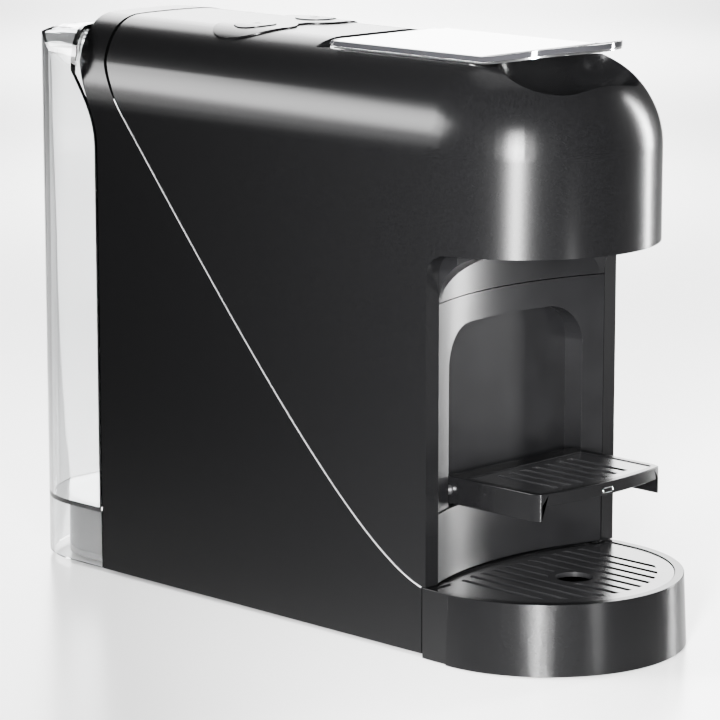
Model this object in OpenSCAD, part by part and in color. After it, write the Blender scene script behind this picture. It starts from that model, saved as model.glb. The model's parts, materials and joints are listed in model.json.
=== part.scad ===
// Pod coffee machine: a narrow upright body with a round nose, a clear water tank behind it,
// a fold-up cup shelf and a round drip tray in front, and a lever on top that moves the brew chamber.
// The front faces -Y, the tank is at +Y, Z is up, and the origin is on the table under the middle.

/* [Overall] */
// Width across the side walls
body_w = 118; // [96:1:150]
// Length from the front of the drip tray to the back of the water tank
body_l = 336; // [320:1:420]
// Height of the casing's crown above the table
shell_top = 250; // [235:1:310]
// Radius of the rounded shoulders between the side walls and the crown
shoulder_r = 40; // [20:1:46]
// Height of the casing's lower edge above the table
skirt_z = 2.7; // [2:0.1:5]

/* [Walls and gaps] */
// Thickness of the moulded casings
wall = 2.5; // [1.5:0.1:3.5]
// Thickness of the light inner mouldings
thin_wall = 2; // [1.2:0.1:3]
// Gap between two casings that meet at a seam
seam_gap = 0.4; // [0.2:0.1:1]
// Gap round a part that slides or lifts out
slide_gap = 0.5; // [0.3:0.1:1.5]
// Gap between a moulding and the moulding it is fixed to
fit_gap = 0.2; // [0.1:0.05:0.5]
// Radial clearance of a pin that turns in its hole
pin_clearance = 0.05; // [0.02:0.01:0.1]

/* [Head and column] */
// Height of the head's lower edge above the table
head_z = 171; // [150:1:185]
// Distance of the head's round centre behind the tray's round centre
head_set = 15.3; // [13:0.1:20]
// Distance of the column's front edge behind the tray's round centre
column_set = 12.8; // [11:0.1:14]
// Width of the flat strip on each side of the niche
strip_w = 7.5; // [5:0.5:12]
// Depth of the strip from front to back
strip_l = 5; // [4:0.5:8]
// Radius of the corner between a strip and the head
strip_fillet = 9; // [4:1:14]
// Radius of the hollow front of the column, seen from above
panel_r = 138; // [110:1:200]
// Depth of the hollow at the middle of the column
panel_sag = 10; // [6:0.5:12]
// Height of the hood that joins the column to the head
hood_h = 21.5; // [16:0.5:30]
// Radius of the hood's hollow curve
hood_r = 20; // [10:1:21]

/* [Seams] */
// Distance from the rear wall to the back of the crown
crown_back = 35.5; // [28:0.5:42]
// Width of the band between the seam and the rear edge of the crown
band_w = 17.5; // [10:0.5:25]
// Radius of the seam and the rear edge where they cross the crown, seen from above
crown_r = 90; // [80:1:140]
// Height below the crown where the rear edge starts to lean back
lean_drop = 60; // [45:1:75]

/* [Drip tray] */
// Height of the tray's rim above the table
tray_h = 31; // [24:1:40]
// How far the tray's foot stands out beyond its rim
tray_flare = 1.4; // [0:0.1:3]
// Distance of the tray's rear face behind its round centre
tray_set = 14.6; // [13:0.1:20]
// Height of the tray's lower edge above the table
tray_lift = 0.8; // [0.5:0.1:2]
// Height of the tray's floor above its lower edge
tray_floor = 6; // [5:0.5:10]
// Width of the tray's rim
rim_w = 4.2; // [3:0.2:7]
// Depth of the grille's surface below the rim
grille_drop = 0.5; // [0.2:0.1:2]
// Thickness of the grilles
grille_t = 2; // [1.5:0.1:3]
// Width of one slot in a grille
slot_w = 3; // [2:0.2:5]
// Distance from one slot to the next
slot_pitch = 7.4; // [5:0.2:10]
// Radius of the finger hole in the drip grille
finger_r = 8; // [7:0.5:10]
// Distance of the finger hole in front of the tray's round centre
finger_set = 17; // [12:1:22]

/* [Cup shelf] */
// Height of the shelf's upper face above the table
shelf_z = 74.3; // [68:0.5:90]
// Width of the shelf
shelf_w = 77; // [60:1:78]
// Reach of the shelf from its hinge to its front edge
shelf_l = 54; // [44:1:58]
// Height of the shelf's skirt
shelf_t = 11.6; // [9:0.2:14]
// Radius of the shelf's front corners
shelf_corner = 9; // [5:1:16]
// Rise of the arched lower edge of the skirt at the front
shelf_arch = 3.6; // [1:0.2:5]
// Distance of the shelf's hinge behind the tray's round centre
shelf_hinge_set = 19; // [18:0.5:21]
// Radius of the shelf's hinge pins
shelf_pin_r = 2; // [1.5:0.1:2.5]
// Gap between the shelf and the sides of its recess
recess_gap = 3; // [2:0.5:5]
// Radius of the upper corners of the shelf's recess
recess_corner = 17; // [10:1:22]

/* [Lever] */
// Width of the lever
lever_w = 70; // [62:1:72]
// Length of the lever from its nose to its hinge
lever_l = 121.6; // [116:0.2:128]
// Thickness of the lever's cover
cover_t = 2.4; // [2:0.1:3]
// Thickness of the bright frame under the lever's cover
frame_t = 0.9; // [0.8:0.1:1.5]
// Depth of the lever's seat below the crown
seat_drop = 3.7; // [3.4:0.1:4.5]
// Rise of the lever's nose above its flat part
nose_rise = 5.4; // [3:0.2:8]
// Radius of the lever's hinge barrel
barrel_r = 6.3; // [5.5:0.1:7]
// Radius of the lever's hinge pin
lever_pin_r = 2; // [1.5:0.1:2.5]
// Radius of the finger scoop under the nose
scoop_r = 22; // [16:1:24]
// Half the straight part of the finger scoop
scoop_half = 15; // [8:1:18]
// Opening angle of the lever
lever_open = 80; // [60:1:80]

/* [Brew unit] */
// Travel of the brew chamber
brew_stroke = 30; // [24:1:32]
// Outer radius of the brew chamber
chamber_r = 20; // [18:0.5:21]
// Length of the brew chamber
chamber_l = 27; // [24:0.5:29]
// Radius of the pins that the cams move
cam_pin_r = 2.5; // [2:0.1:3]
// Depth of the brew axis below the lever's seat
brew_drop = 42; // [40:0.5:46]

/* [Buttons] */
// Radius of a button
button_r = 9; // [7:0.5:10]
// Distance from the middle to each button
button_x = 18.5; // [17:0.5:20]
// Distance of the buttons behind the lever's hinge
button_set = 62; // [50:1:66]
// Travel of a button
button_travel = 1.5; // [1:0.1:2]
// Height of the button pad above the crown
pad_rise = 0.8; // [0.4:0.1:1.5]

/* [Water tank] */
// Length of the tank from the rear wall to its back
tank_l = 61; // [50:1:75]
// Thickness of the clear walls
tank_wall = 2.2; // [1.5:0.1:3]
// Radius of the tank's rear corners, seen from above
tank_corner = 38; // [24:1:44]
// Height of the tank's top below the crown
tank_drop = 4; // [3:0.5:10]
// Radius of the tank's upper edges
tank_round = 18; // [10:1:24]
// How far the tank's back leans forwards over its height
tank_lean = 8; // [2:0.5:14]
// Height of the plinth under the tank
plinth_h = 27.6; // [22:0.2:34]
// Gap between the plinth and the tank's skirt
plinth_gap = 7; // [4:0.5:9]
// Height of the water outlet above the tank's floor
outlet_rise = 14; // [12:0.5:20]

/* [Capsule bin] */
// Length of the bin
bin_l = 78; // [60:1:90]
// Height of the bin
bin_h = 29.5; // [24:0.5:32]

/* [Hidden] */
$fn = 96;
eps = 0.01;
far = 400;

// Places along the length
tray_r = body_w / 2;
tray_y = -body_l / 2 + tray_r + tray_flare;
tray_back = tray_y + tray_set;
column_y = tray_y + column_set;
head_y = tray_y + head_set;
back_y = body_l / 2 - tank_l;
crown_end = back_y + crown_back;

// Places on the column
panel_axis_y = column_y + panel_sag - panel_r;
hood_z = head_z - hood_h;
panel_w = body_w - 2 * strip_w - 2 * fit_gap;
shelf_hinge_y = tray_y + shelf_hinge_set;
shelf_hinge_z = shelf_z - shelf_t / 2;
shelf_barrel = shelf_t / 2;
recess_w = shelf_w + 2 * recess_gap;
recess_back = shelf_hinge_y + shelf_barrel + 1.2;
recess_top = shelf_hinge_z + shelf_l + 15;
panel_low = shelf_hinge_z - shelf_barrel - 0.8;

// Places of the lever and the brew unit
seat_z = shell_top - seat_drop;
nose_y = tray_y + 6.6 - lever_w / 2;
hinge_y = nose_y + lever_l;
hinge_z = shell_top - barrel_r;
deck_w = lever_w - 3.6;
deck_front = hinge_y - 72;
deck_back = hinge_y + barrel_r + 1.1;
deck_t = 2.5;
lever_heel = 2.8;
barrel_w = lever_w - 10;
brew_z = seat_z - brew_drop;
injector_y = hinge_y - 33.2;
chamber_back = injector_y - 0.3;
chamber_front = chamber_back - chamber_l;
cam_pin = [-4, -31];
cam_t = 3;
cam_x = 28.1;
cam_gap = 0.35;
cheek_x = 32;
cheek_t = 2.5;
bar_x = 20.6;
bar_t = 4;
bar_z = hinge_z + cam_pin.y;
frame_low = head_z + 4;
spout_y = tray_y - 6;
chute_w = 40;
chute_y0 = recess_back + thin_wall + 1;
chute_y1 = chamber_back + 5;

// Places of the buttons
pad_y = hinge_y + button_set;
pad_r = 18.5;
pad_x = button_x;
stem_r = 3;
board_z = shell_top - wall - 13;

// Places of the tank and the water path
tank_top = shell_top - tank_drop;
tank_y0 = back_y + slide_gap + 0.3;
tank_low = skirt_z;
tank_floor = plinth_h + 0.4;
outlet_z = tank_floor + tank_wall + outlet_rise;
lid_w = 56;
lid_y0 = crown_end + 3.5;
lid_l = 12.5;
lid_pin_r = 1;
lid_pin_y = lid_y0 + 2;
lid_pin_z = tank_top - 3.2;

// Places of the capsule bin
bin_z = tray_h + 0.6;
bin_w = panel_w - 8;

// Places of the water works
floor_z = 7;
chassis_y = column_y + panel_sag + bin_l + 3;
pump_x = 16;
pump_y = (back_y + chassis_y - 1.2) / 2 + 1;
pump_reach = (back_y - chassis_y - 18.8) / 2;
pump_z = 46;
boiler_y = hinge_y + 58;
boiler_z = brew_z - 50;
meter_x = -34;
meter_y = back_y - 30;
board_x = body_w / 2 - wall - 8;

// ---------- helpers ----------

// Extrudes a (y, z) outline along X, centred on the middle
module along_x(width) rotate([90, 0, 90]) translate([0, 0, -width / 2]) linear_extrude(width) children();

// Extrudes an (x, z) outline along Y between two places
module along_y(y0, y1) translate([0, y1, 0]) rotate([90, 0, 0]) linear_extrude(y1 - y0) children();

// Repeats its children on both sides
module both_sides() {
    children();
    mirror([1, 0, 0]) children();
}

// A block given by its low and high corners
module block(low, high) translate(low) cube(high - low);

// A round bar along X between two places
module bar_along_x(x0, x1, y, z, r) translate([x0, y, z]) rotate([0, 90, 0]) cylinder(r = r, h = x1 - x0);

// A round bar along Y between two places
module bar_along_y(y0, y1, x, z, r) translate([x, y1, z]) rotate([90, 0, 0]) cylinder(r = r, h = y1 - y0);

// A point on a cubic curve
function curve_point(p, t) =
    pow(1 - t, 3) * p[0] + 3 * pow(1 - t, 2) * t * p[1] + 3 * (1 - t) * t * t * p[2] + pow(t, 3) * p[3];
function curve(p, steps) = [for (i = [0:steps]) curve_point(p, i / steps)];

// A rectangle with round corners, given by its low and high corners
module round_rect(low, high, r) {
    translate(low + [r, 0]) square([high.x - low.x - 2 * r, high.y - low.y]);
    translate(low + [0, r]) square([high.x - low.x, high.y - low.y - 2 * r]);
    for (x = [low.x + r, high.x - r], y = [low.y + r, high.y - r]) translate([x, y]) circle(r);
}

// A coil spring drawn as a plain sleeve
module sleeve(r, t, h) {
    difference() {
        cylinder(r = r, h = h);
        translate([0, 0, -1]) cylinder(r = r - t, h = h + 2);
    }
}

// ---------- casing ----------

// Cross section of the casing: straight sides and rounded shoulders
module shell_section(inset, low) {
    half = body_w / 2 - inset;
    r = shoulder_r - inset;
    shoulder_z = shell_top - shoulder_r;
    translate([-half, low]) square([2 * half, shoulder_z - low]);
    translate([r - half, low]) square([2 * (half - r), shoulder_z + r - low]);
    for (side = [-1, 1]) translate([side * (half - r), shoulder_z]) circle(r);
}

// Half of the section, for the round head
module half_section(inset, low) {
    intersection() {
        shell_section(inset, low);
        translate([0, -far]) square([far, 2 * far]);
    }
}

// The casing's form, drawn in by inset: a straight body with a round, domed front
module shell_form(inset, low) {
    along_y(head_y, crown_end + 20) shell_section(inset, low);
    translate([0, head_y, 0]) rotate([0, 0, 180]) rotate_extrude(angle = 180) half_section(inset, low);
}

// Seat for the lever and the finger scoop, grown outwards by a wall
module lever_seat(grow) {
    seat_back = deck_back + 0.3;
    half = lever_w / 2 + 0.3;
    block([-half - grow, head_y - far, seat_z - grow], [half + grow, seat_back + grow, shell_top + far]);
    translate([0, nose_y + 14, shell_top + 1]) rotate([0, 90, 0]) rotate_extrude() scoop_half_section(grow);
}

// Half of the scoop's section: straight with round ends
module scoop_half_section(grow) {
    r = scoop_r + grow;
    intersection() {
        union() {
            translate([-r, -scoop_half]) square([2 * r, 2 * scoop_half]);
            for (side = [-1, 1]) translate([0, side * scoop_half]) circle(r);
        }
        translate([0, -far]) square([far, 2 * far]);
    }
}

// Everything in front of the rear edge: upright below, leaning back to the crown
module rear_region() {
    lean_z = shell_top - lean_drop;
    lean = [[back_y, lean_z], [back_y - 0.3, lean_z + 16], [back_y + 3, lean_z + 22],
            [back_y + 24, shell_top - 11.5]];
    outline = concat([[-far, -20], [back_y, -20]], curve(lean, 16),
                     [[crown_end + 1, shell_top + 1], [crown_end + 1, far], [-far, far]]);
    intersection() {
        along_x(body_w + 20) polygon(outline);
        crown_bow(crown_end);
    }
}

// Everything in front of a bow across the crown
module crown_bow(y) {
    translate([0, y - crown_r, -30]) linear_extrude(far + 60) {
        circle(crown_r, $fn = 180);
        translate([-far / 2, -2 * far]) square([far, 2 * far]);
    }
}

// Everything above and in front of the long side seam
module seam_region() {
    start = [tray_back, tray_h + 0.3];
    end = [back_y + 18.5, shell_top + 2];
    run = end - start;
    seam = [start, start + [0.23 * run.x, 0.06 * run.y], start + [0.726 * run.x, 0.696 * run.y], end];
    outline = concat([[-far, start.y]], curve(seam, 32), [[end.x, far], [-far, far]]);
    intersection() {
        along_x(body_w + 30) polygon(outline);
        crown_bow(crown_end - band_w);
    }
}

// Open space under the head and in front of the column, with a round corner over each strip
module under_head() {
    difference() {
        block([-body_w, -far, -far], [body_w, column_y, head_z]);
        both_sides() difference() {
            block([body_w / 2 - strip_w, column_y - strip_fillet, head_z - strip_fillet],
                  [body_w / 2 + 1, column_y + 1, head_z + 1]);
            bar_along_x(0, body_w, column_y - strip_fillet, head_z - strip_fillet, strip_fillet);
        }
    }
}

// Hollow inside the casing, without the solid strips and the lever's seat
module shell_hollow() {
    difference() {
        shell_form(wall, skirt_z - 1);
        lever_seat(wall);
        both_sides() block([body_w / 2 - strip_w, column_y - strip_fillet, -1],
                           [body_w / 2 + 1, column_y + strip_l, head_z + 1]);
    }
}

// The whole casing before it is split along the seam
module shell_walls() {
    difference() {
        intersection() {
            shell_form(0, skirt_z);
            rear_region();
        }
        under_head();
        shell_hollow();
        lever_seat(0);
        block([-deck_w / 2 - 0.3, deck_front - 0.3, seat_z - 20], [deck_w / 2 + 0.3, deck_back + 0.3, far]);
    }
}

module upper_shell() {
    color([0.17, 0.17, 0.18]) difference() {
        shell_walls();
        difference() {
            block([-body_w, -body_l, 0], [body_w, body_l, 2 * shell_top]);
            seam_region();
        }
        button_places() translate([0, 0, shell_top - 20]) cylinder(r = button_r + 0.4, h = 30);
    }
}

module lower_shell() {
    color([0.16, 0.16, 0.17]) difference() {
        shell_walls();
        translate([0, seam_gap + 0.1, 0]) seam_region();
        block([-far, -far, -1], [far, tray_back + slide_gap, tray_h + 1]);
        bar_along_x(body_w / 2 - 10, body_w / 2 + 10, back_y - 22, 15, 6.1);
    }
}

// Rear wall that the tank slides up to
module rear_panel() {
    color([0.12, 0.12, 0.13]) difference() {
        intersection() {
            shell_form(wall + fit_gap, floor_z);
            rear_region();
        }
        translate([0, -3, 0]) rear_region();
        bar_along_y(back_y - 10, back_y + 10, 0, outlet_z, 9.05);
    }
}

module base_plate() {
    plate_y = column_y + strip_l + 0.3;
    color([0.08, 0.08, 0.09]) difference() {
        union() {
            block([-body_w / 2 + wall + 0.5, plate_y, 2], [body_w / 2 - wall - 0.5, back_y - 0.1, 4.5]);
            block([-38, tray_y - 30, 2], [38, plate_y + 1, 4.5]);
        }
        screw_places() translate([0, 0, -1]) cylinder(r = 1.8, h = 10);
    }
}

module foot_places() {
    for (x = [-44, 44], y = [tray_back + 16, back_y - 14]) translate([x, y, 0]) children();
    for (x = [-26, 26]) translate([x, tray_y - 12, 0]) children();
}

module feet() {
    color([0.1, 0.1, 0.1]) foot_places() cylinder(r = 6, h = 2);
}

module screw_places() {
    for (x = [-34, 34], y = [tray_back + 40, back_y - 33]) translate([x, y, 0]) children();
}

module base_screws() {
    color([0.7, 0.7, 0.72]) screw_places() {
        translate([0, 0, 1.3]) cylinder(r = 3.4, h = 0.7);
        translate([0, 0, 1.4]) cylinder(r = 1.75, h = floor_z + 2);
    }
}

module cord_inlet() {
    color([0.06, 0.06, 0.06]) difference() {
        union() {
            bar_along_x(body_w / 2 - 8, body_w / 2 - 0.1, back_y - 22, 15, 6);
            bar_along_x(body_w / 2 - wall - 3, body_w / 2 - wall - 0.1, back_y - 22, 15, 7.6);
        }
        bar_along_x(body_w / 2 - 20, body_w / 2 + 20, back_y - 22, 15, 3.4);
    }
}

// ---------- niche ----------

// Solid that follows the column's hollow front, drawn back by inset
module column_solid(inset, low, high, half) {
    difference() {
        block([-half, column_y - 1, low], [half, column_y + 60, high]);
        translate([0, panel_axis_y, low - 1]) cylinder(r = panel_r + inset, h = high - low + 2, $fn = 360);
    }
}

// Curved skin of the column between two heights
module column_skin(low, high, half, thick) {
    difference() {
        column_solid(0, low, high, half);
        column_solid(thick, low - 1, high + 1, half + 1);
    }
}

// Outline of the shelf's recess in front view
module recess_outline(grow) {
    half = recess_w / 2 + grow;
    r = recess_corner + grow;
    translate([-half, panel_low - 1]) square([2 * half, recess_top + grow - r - panel_low + 1]);
    translate([r - half, panel_low - 1]) square([2 * (half - r), recess_top + grow - panel_low + 1]);
    for (side = [-1, 1]) translate([side * (half - r), recess_top + grow - r]) circle(r);
}

module column_panel() {
    color([0.13, 0.13, 0.14]) difference() {
        union() {
            column_skin(panel_low, hood_z - seam_gap, panel_w / 2, wall);
            intersection() {
                along_y(column_y, recess_back + thin_wall) recess_outline(thin_wall);
                column_solid(0, panel_low, hood_z - seam_gap, panel_w / 2);
            }
            intersection() {
                both_sides() bar_along_x(recess_w / 2 + 1, recess_w / 2 + 4.5, shelf_hinge_y, shelf_hinge_z, 4.6);
                column_solid(0, panel_low, hood_z - seam_gap, panel_w / 2);
            }
        }
        along_y(column_y - 20, recess_back) recess_outline(0);
        bar_along_x(-far, far, shelf_hinge_y, shelf_hinge_z, shelf_pin_r + 0.02);
    }
}

// Hood: a plate under the head and the hollow curve down to the column
module brew_hood() {
    plate_z = head_z + 0.5;
    plate_t = 2.5;
    color([0.14, 0.14, 0.15]) difference() {
        union() {
            translate([0, head_y, plate_z]) intersection() {
                cylinder(r = body_w / 2 - wall - fit_gap, h = plate_t);
                translate([-far, -far, 0]) cube([2 * far, far, plate_t]);
            }
            block([-body_w / 2 + wall + fit_gap, head_y, plate_z],
                  [body_w / 2 - wall - fit_gap, recess_back + 30, plate_z + plate_t]);
            column_solid_block();
        }
        hood_hollow();
        block([-chute_w / 2 - 2.5, chute_y0 - 0.5, hood_z - 1], [chute_w / 2 + 2.5, chute_y1 + 0.5, head_z + 10]);
        translate([0, spout_y, head_z - 1]) cylinder(r = 6.1, h = 10);
        both_sides() block([body_w / 2 - strip_w - fit_gap, column_y - strip_fillet - 1, hood_z - 1],
                           [body_w / 2, column_y + strip_l + fit_gap, head_z + 1 + fit_gap]);
    }
}

module column_solid_block() {
    column_solid(0, hood_z, head_z + 1, panel_w / 2);
    block([-panel_w / 2, column_y - 10, hood_z], [panel_w / 2, column_y + 1, head_z + 1]);
}

// The hollow below the hood, turned about the column's own axis
module hood_hollow() {
    arc = [for (i = [0:16]) let (a = 90 * i / 16)
           [panel_r - hood_r + hood_r * cos(a), hood_z + hood_r * sin(a)]];
    top = head_z + 0.5;
    translate([0, panel_axis_y, 0]) rotate_extrude($fn = 360)
        polygon(concat([[0, hood_z - 1], [panel_r, hood_z - 1]], arc, [[panel_r - hood_r, top], [0, top]]));
    difference() {
        block([-far, column_y + 16, hood_z - 1], [far, column_y + 90, top]);
        translate([0, panel_axis_y, hood_z - 2]) cylinder(r = panel_r + 6, h = hood_h + 4, $fn = 360);
    }
}

module spout() {
    color([0.1, 0.1, 0.1]) translate([0, spout_y, 0]) difference() {
        union() {
            translate([0, 0, head_z - 4]) cylinder(r1 = 4.6, r2 = 5.9, h = 5);
            translate([0, 0, head_z + 0.9]) cylinder(r = 5.9, h = 2.3);
        }
        translate([0, 0, head_z - 5]) cylinder(r = 2.6, h = 20);
    }
}

module outlet_funnel() {
    low = head_z + 3.3;
    y0 = spout_y - 9;
    y1 = chute_y0 - 0.7;
    color([0.55, 0.55, 0.57]) difference() {
        block([-12, y0, low], [12, y1, low + 7]);
        along_x(20) polygon([[y0 + 2, low + 1.6], [spout_y + 4, low + 1.6], [y1 - 2, low + 4],
                             [y1 - 2, low + 9], [y0 + 2, low + 9]]);
        translate([0, spout_y, low - 1]) cylinder(r = 2.6, h = 9);
    }
}

// ---------- drip tray and capsule bin ----------

// Plan of the tray, drawn in by inset: round in front, with a tongue into the body behind
module tray_plan(inset) {
    tongue = tray_tongue();
    intersection() {
        circle(tray_r - inset);
        translate([-far, -2 * far]) square([2 * far, 2 * far]);
    }
    translate([-tray_r + inset, 0]) square([2 * (tray_r - inset), tray_set - inset]);
    translate([-tongue + inset, 0]) square([2 * (tongue - inset), tray_set + 12 - inset]);
}
function tray_tongue() = body_w / 2 - strip_w - 2;

module drip_tray() {
    low = tray_lift;
    seat = tray_h - grille_drop - grille_t - 0.05;
    ledge_t = 1.6;
    color([0.15, 0.15, 0.16]) translate([0, tray_y, 0]) difference() {
        union() {
            intersection() {
                translate([0, 0, low]) cylinder(r1 = tray_r + tray_flare, r2 = tray_r, h = tray_h - low);
                translate([-far, -far, 0]) cube([2 * far, far, far]);
            }
            translate([-tray_r, 0, low]) cube([2 * tray_r, tray_set, tray_h - low]);
            translate([-tray_tongue(), 0, low + tray_floor])
                cube([2 * tray_tongue(), tray_set + 12, tray_h - low - tray_floor - 0.6]);
        }
        translate([0, 0, low + tray_floor + thin_wall])
            linear_extrude(seat - ledge_t - low - tray_floor - thin_wall) tray_plan(wall);
        translate([0, 0, seat - ledge_t - 1]) linear_extrude(far) tray_plan(rim_w + 1.5);
        translate([0, 0, seat]) linear_extrude(far) tray_plan(rim_w - 0.3);
        translate([0, 0, low - 1]) linear_extrude(tray_floor + 1) difference() {
            tray_plan(wall);
            translate([-far, tray_set - wall]) square([2 * far, 30]);
        }
        translate([-42, 0, low - 1]) cube([84, 40, tray_floor + 0.5]);
    }
}

// Slots along Y that stay a margin inside a plan
module slots(count, y0, y1) {
    for (i = [0:count - 1]) let (x = (i - (count - 1) / 2) * slot_pitch)
        translate([x, 0]) {
            translate([-slot_w / 2, y0]) square([slot_w, y1 - y0]);
        }
}

module drip_grille() {
    count = 2 * floor((tray_r - rim_w - 8) / slot_pitch) - 1;
    color([0.12, 0.12, 0.13]) translate([0, tray_y, tray_h - grille_drop - grille_t]) linear_extrude(grille_t)
        difference() {
            intersection() {
                tray_plan(rim_w);
                translate([0, panel_axis_y - tray_y]) circle(panel_r - slide_gap, $fn = 360);
            }
            difference() {
                intersection() {
                    slots(count, -far, far);
                    circle(tray_r - rim_w - 7);
                    translate([-far, -far]) square([2 * far, far + column_set + 2]);
                    translate([0, panel_axis_y - tray_y]) circle(panel_r - 5, $fn = 360);
                }
                translate([0, -finger_set]) circle(finger_r + 3);
            }
            translate([0, -finger_set]) circle(finger_r);
        }
}

module capsule_bin() {
    y0 = column_y + panel_sag;
    y1 = y0 + bin_l;
    top = bin_z + bin_h;
    color([0.13, 0.13, 0.14]) difference() {
        union() {
            column_skin(bin_z, top, panel_w / 2, wall);
            intersection() {
                block([-bin_w / 2, column_y, bin_z], [bin_w / 2, y1, top]);
                column_solid(0, bin_z, top, panel_w / 2);
            }
        }
        difference() {
            block([-bin_w / 2 + thin_wall, column_y - 5, bin_z + thin_wall], [bin_w / 2 - thin_wall, y1 - thin_wall, top + 1]);
            translate([0, panel_axis_y, 0]) cylinder(r = panel_r + wall, h = far, $fn = 360);
        }
    }
}

// ---------- cup shelf ----------

// Plan of the shelf in front of its hinge, drawn in by inset
module shelf_plan(inset, back) {
    half = shelf_w / 2 - inset;
    r = shelf_corner - inset;
    front = -shelf_l + inset;
    bow_r = 180;
    intersection() {
        union() {
            translate([-half, front + r]) square([2 * half, back - front - r]);
            translate([r - half, front]) square([2 * (half - r), back - front]);
            for (side = [-1, 1]) translate([side * (half - r), front + r]) circle(r);
        }
        translate([0, front + bow_r]) circle(bow_r, $fn = 360);
    }
}

module cup_shelf() {
    low = -shelf_t / 2;
    high = shelf_t / 2;
    color([0.15, 0.15, 0.16]) translate([0, shelf_hinge_y, shelf_hinge_z]) difference() {
        union() {
            translate([0, 0, low]) linear_extrude(shelf_t) shelf_plan(0, 0);
            bar_along_x(-shelf_w / 2, shelf_w / 2, 0, 0, shelf_barrel);
        }
        translate([0, -shelf_barrel - 2, low - 1]) linear_extrude(shelf_t - 4.4) shelf_plan(wall, 0);
        translate([0, 0, high - grille_t - 0.5]) linear_extrude(far) shelf_plan(3.2, -8);
        translate([0, 0, low - 1]) linear_extrude(far) shelf_plan(6, -14);
        arch_r = (pow(shelf_w / 2 - 6, 2) + shelf_arch * shelf_arch) / (2 * shelf_arch);
        bar_along_y(-far, -shelf_l + shelf_corner, 0, low + shelf_arch - arch_r, arch_r);
        bar_along_x(-far, far, 0, 0, shelf_pin_r + pin_clearance);
    }
}

module shelf_grille() {
    count = 2 * floor((shelf_w / 2 - 8) / slot_pitch) - 1;
    color([0.12, 0.12, 0.13]) translate([0, shelf_hinge_y, shelf_z - grille_t - 0.4]) linear_extrude(grille_t)
        difference() {
            shelf_plan(3.4, -8.2);
            intersection() {
                slots(count, -far, far);
                shelf_plan(8, -13);
            }
        }
}

module shelf_pins() {
    color([0.75, 0.75, 0.77]) both_sides()
        bar_along_x(shelf_w / 2 - 5, recess_w / 2 + 4, shelf_hinge_y, shelf_hinge_z, shelf_pin_r);
}

// ---------- lever and brew unit ----------

// Plan of the lever, drawn in by inset: a half-round nose in front
module lever_plan(inset) {
    half = lever_w / 2 - inset;
    centre = nose_y + lever_w / 2;
    translate([0, centre]) circle(half);
    translate([-half, centre]) square([2 * half, hinge_y - lever_heel - centre]);
}

// Side outline of one layer of the lever, with its nose swept up
module lever_side(low, high) {
    start = nose_y + lever_w / 2;
    steps = 12;
    rise = [for (i = [0:steps]) let (t = i / steps) [start + 2 - t * (start + 4 - nose_y), nose_rise * t * t * (3 - 2 * t) * 0.9]];
    bottom = [for (i = [0:steps]) rise[i] + [0, low]];
    top = [for (i = [0:steps]) rise[steps - i] + [0, high]];
    polygon(concat([[hinge_y - lever_heel, low]], bottom, top, [[hinge_y - lever_heel, high]]));
}

module lever_layer(low, high, inset) {
    intersection() {
        translate([0, 0, low - 10]) linear_extrude(high - low + 20 + nose_rise) lever_plan(inset);
        along_x(lever_w + 10) lever_side(low, high);
    }
}

module lever_cover() {
    low = seat_z + 0.4 + frame_t;
    half = barrel_w / 2;
    color([0.03, 0.03, 0.03]) difference() {
        union() {
            lever_layer(low, low + cover_t, 0);
            block([-half, hinge_y - lever_heel - 3, low], [half, hinge_y, hinge_z + barrel_r]);
            intersection() {
                bar_along_x(-half, half, hinge_y, hinge_z, barrel_r);
                block([-half, hinge_y - 1, low - 0.1], [half, hinge_y + barrel_r, shell_top + 1]);
            }
        }
        bar_along_x(-half - 5, half + 5, hinge_y, hinge_z, barrel_r - 1.2);
    }
}

// Path of the cam pin, seen from the turning lever
function cam_point(a) =
    let (y = cam_pin.x - brew_stroke * a / lever_open, z = cam_pin.y)
    [y * cos(a) - z * sin(a), y * sin(a) + z * cos(a)];
cam_steps = 10;
cam_path = [for (i = [0:cam_steps]) cam_point(lever_open * i / cam_steps)];
cam_slot_r = cam_pin_r + cam_gap;
cam_rim = 3.5;
cam_reach = norm(cam_path[0]) + cam_slot_r + cam_rim;

// Direction across the cam pin's path at one step
function cam_across(i) =
    let (run = cam_path[min(i + 1, cam_steps)] - cam_path[max(i - 1, 0)])
    [-run.y, run.x] / norm(run);

// A band of half width r that follows the cam pin's path, with round ends
module cam_band(r) {
    upper = [for (i = [0:cam_steps]) cam_path[i] + r * cam_across(i)];
    lower = [for (i = [cam_steps:-1:0]) cam_path[i] - r * cam_across(i)];
    polygon(concat(upper, lower));
    translate(cam_path[0]) circle(r);
    translate(cam_path[cam_steps]) circle(r);
}

// The plate on one side of the lever that carries the cam slot
module cam_plate() {
    translate([cam_x - cam_t / 2, hinge_y, hinge_z]) rotate([90, 0, 90]) linear_extrude(cam_t) difference() {
        union() {
            polygon(concat([[barrel_r - 2, 0], [2 - barrel_r, 0]], cam_path));
            cam_band(cam_slot_r + cam_rim);
            circle(barrel_r - 1);
        }
        cam_band(cam_slot_r);
    }
}
module lever_frame() {
    low = seat_z + 0.4;
    color([0.8, 0.8, 0.82]) difference() {
        union() {
            lever_layer(low, low + frame_t - 0.05, 0.3);
            bar_along_x(-barrel_w / 2, barrel_w / 2, hinge_y, hinge_z, barrel_r - 1.4);
            block([-barrel_w / 2, hinge_y - 5, hinge_z - 1], [barrel_w / 2, hinge_y, low + frame_t - 0.05]);
            both_sides() cam_plate();
        }
        bar_along_x(-far / 2, far / 2, hinge_y, hinge_z, lever_pin_r + pin_clearance);
    }
}

module lever_pin() {
    color([0.75, 0.75, 0.77]) bar_along_x(0.2 - cheek_x, cheek_x - 0.2, hinge_y, hinge_z, lever_pin_r);
}

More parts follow.
